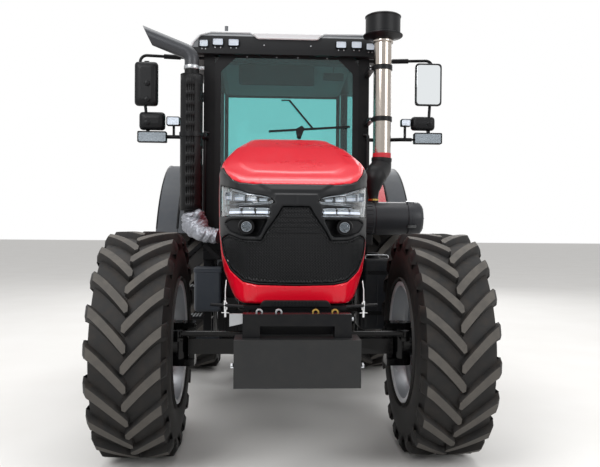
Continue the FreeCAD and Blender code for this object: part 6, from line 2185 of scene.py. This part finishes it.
@dataclass
class Stage:
    """Pale floor, soft lamps, white surroundings and the camera of the photograph."""

    position: tuple[float, float, float] = (-0.174, -5.9925, 1.533)
    yaw: float = 0.0509
    pitch: float = -0.0111
    roll: float = 0.0082
    lens: float = 39.64

    def camera(self) -> None:
        """Aim the camera: the forward vector is (sin yaw cos pitch, cos yaw cos pitch, sin pitch)."""
        forward = np.array([math.sin(self.yaw) * math.cos(self.pitch),
                            math.cos(self.yaw) * math.cos(self.pitch), math.sin(self.pitch)])
        level = np.array([math.cos(self.yaw), -math.sin(self.yaw), 0.0])
        upright = np.cross(level, forward)
        right = level * math.cos(self.roll) + upright * math.sin(self.roll)
        up = upright * math.cos(self.roll) - level * math.sin(self.roll)
        turn = Matrix(np.column_stack([right, up, -forward]).tolist()).to_4x4()
        data = bpy.data.cameras.new("photo_camera")
        data.lens = self.lens
        data.sensor_width = 36.0
        data.clip_end = 200.0
        camera = link("photo_camera", data)
        camera.matrix_world = Matrix.Translation(self.position) @ turn
        bpy.context.scene.camera = camera

    def floor(self) -> None:
        """A pale concrete floor: diffuse, with a faint mottle."""
        half = 60.0
        mesh = bpy.data.meshes.new("floor")
        mesh.from_pydata([(-half, -half, 0), (half, -half, 0), (half, half, 0), (-half, half, 0)], [],
                         [(0, 1, 2, 3)])
        floor = link("floor", mesh)
        material, tree, shader, where = start_material("pale_floor")
        set_inputs(shader, {"Roughness": 0.9})
        mottle = noise(tree, where, 1.2, 6.0)
        tint = add_node(tree, "Mix", {"data_type": "RGBA", "in:6": linear("DAD8D5"),
                                      "in:7": linear("E3E2E0")}, _0=mottle)
        tree.links.new(tint.outputs[2], shader.inputs["Base Color"])
        mesh.materials.append(material)

    def lamp(self, name: str, place: Sequence, aim: Sequence, size: float, power: float) -> None:
        """One soft square area lamp aimed at a point."""
        data = bpy.data.lights.new(name, "AREA")
        data.size = size
        data.energy = power
        lamp = link(name, data)
        lamp.location = place
        lamp.rotation_euler = (Vector(aim) - Vector(place)).to_track_quat("-Z", "Y").to_euler()
        lamp.visible_camera = False
        lamp.visible_transmission = False

    def world(self) -> None:
        """Even grey light from all round, seen as white by the camera and in reflections."""
        world = bpy.data.worlds.new("soft_surroundings")
        world.use_nodes = True
        bpy.context.scene.world = world
        tree = world.node_tree
        background = tree.nodes["Background"]
        path = add_node(tree, "LightPath")
        seen = add_node(tree, "Math", {"operation": "MAXIMUM"}, _0=path.outputs["Is Camera Ray"],
                        _1=path.outputs["Is Transmission Ray"])
        seen = add_node(tree, "Math", {"operation": "MAXIMUM"}, _0=seen.outputs[0],
                        _1=path.outputs["Is Glossy Ray"])
        where = add_node(tree, "TexCoord").outputs["Generated"]
        height = add_node(tree, "SeparateXYZ", _0=where).outputs[2]
        sky = add_node(tree, "MapRange", {"in:1": -0.1, "in:2": 0.9, "in:3": 0.30, "in:4": 0.80},
                       _0=height).outputs[0]
        level = add_node(tree, "Mix", {"in:3": 1.0}, _0=seen.outputs[0], _2=sky)
        background.inputs["Color"].default_value = (1.0, 1.0, 1.0, 1.0)
        tree.links.new(level.outputs[0], background.inputs["Strength"])

    def build(self) -> None:
        """Make the floor, lamps, world and camera, and set the view transform."""
        self.floor()
        self.lamp("key_left_front", (-5.5, -8.5, 7.5), (0, 0, 1.4), size=5.0, power=620.0)
        self.lamp("fill_right_front", (7.0, -7.0, 5.0), (0, 0, 1.4), size=5.0, power=300.0)
        self.lamp("top", (0.0, 1.0, 9.5), (0, 0, 1.0), size=6.0, power=420.0)
        self.lamp("rim_rear", (2.0, 9.0, 6.0), (0, 0, 1.6), size=5.0, power=300.0)
        self.world()
        self.camera()
        bpy.context.scene.view_settings.view_transform = "Standard"


def plain_finishes() -> None:
    """Give each CAD node that has no detailed piece of its own a beveled copy and its material."""
    plain = {"front_bolster": (BLACK_POWDER, 0.004), "engine_block": (CAST_IRON, 0.008),
             "radiator": (BLACK_POWDER, 0.004), "transmission": (CAST_IRON, 0.006),
             "front_axle": (CHASSIS_GLOSS, 0.006), "knuckle_left": (CHASSIS_GLOSS, 0.005),
             "knuckle_right": (CHASSIS_GLOSS, 0.005), "cab_floor": (BLACK_POWDER, 0.006),
             "cab_walls": (BLACK_ABS, 0.006), "cab_pillars": (BLACK_POWDER, 0.006),
             "side_panels": (BLACK_ABS, 0.006), "hitch_brackets": (CAST_IRON, 0.006),
             "drawbar": (BLACK_POWDER, 0.004), "top_link": (BRIGHT_STEEL, 0.002),
             "lower_links": (BLACK_POWDER, 0.004), "lift_arms": (BLACK_POWDER, 0.005),
             "lift_rods": (BLACK_POWDER, 0.003), "pto_shaft": (BRIGHT_STEEL, 0.001),
             "steering_rod": (CHASSIS_GLOSS, 0.001), "wiper": (BLACK_ABS, 0.001),}
    for node, (finish, bevel) in plain.items():
        dress(node, finish, bevel)


def main() -> None:
    """Build the dressed tractor."""
    logging.basicConfig(level=logging.INFO, format="%(message)s")
    for word, side in SIDES:
        front_middle = (side * FRONT_WHEEL_X, FRONT_AXLE_Y, FRONT_TYRE_RADIUS)
        rear_middle = (side * REAR_WHEEL_X, REAR_AXLE_Y, REAR_TYRE_RADIUS)
        Tyre(f"front_tyre_{word}", f"front_wheel_{word}", front_middle, FRONT_TYRE_RADIUS, width=0.480,
             bead=0.390, lug=0.042, lug_top=0.080).build()
        Tyre(f"rear_tyre_{word}", f"rear_wheel_{word}", rear_middle, REAR_TYRE_RADIUS, width=0.520,
             bead=0.540, lug=0.048, lug_top=0.096).build()
        Wheel(f"front_rim_{word}", f"front_wheel_{word}", side, front_middle, flange=0.408, seat=0.390,
              edge=0.205, disc_x=-0.020, hub_hole=0.092, hub_face=0.924, hub_radius=0.178,
              cap_radius=0.090).build()
        Wheel(f"rear_rim_{word}", f"rear_wheel_{word}", side, rear_middle, flange=0.562, seat=0.540,
              edge=0.222, disc_x=-0.010, hub_hole=0.112, hub_face=0.860, hub_radius=0.190,
              cap_radius=0.108).build()
    Bonnet().build()
    Exhaust().build()
    Intake().build()
    Cab().build()
    Mirrors().build()
    Outside().build()
    plain_finishes()
    Stage().build()


if __name__ == "__main__":
    main()
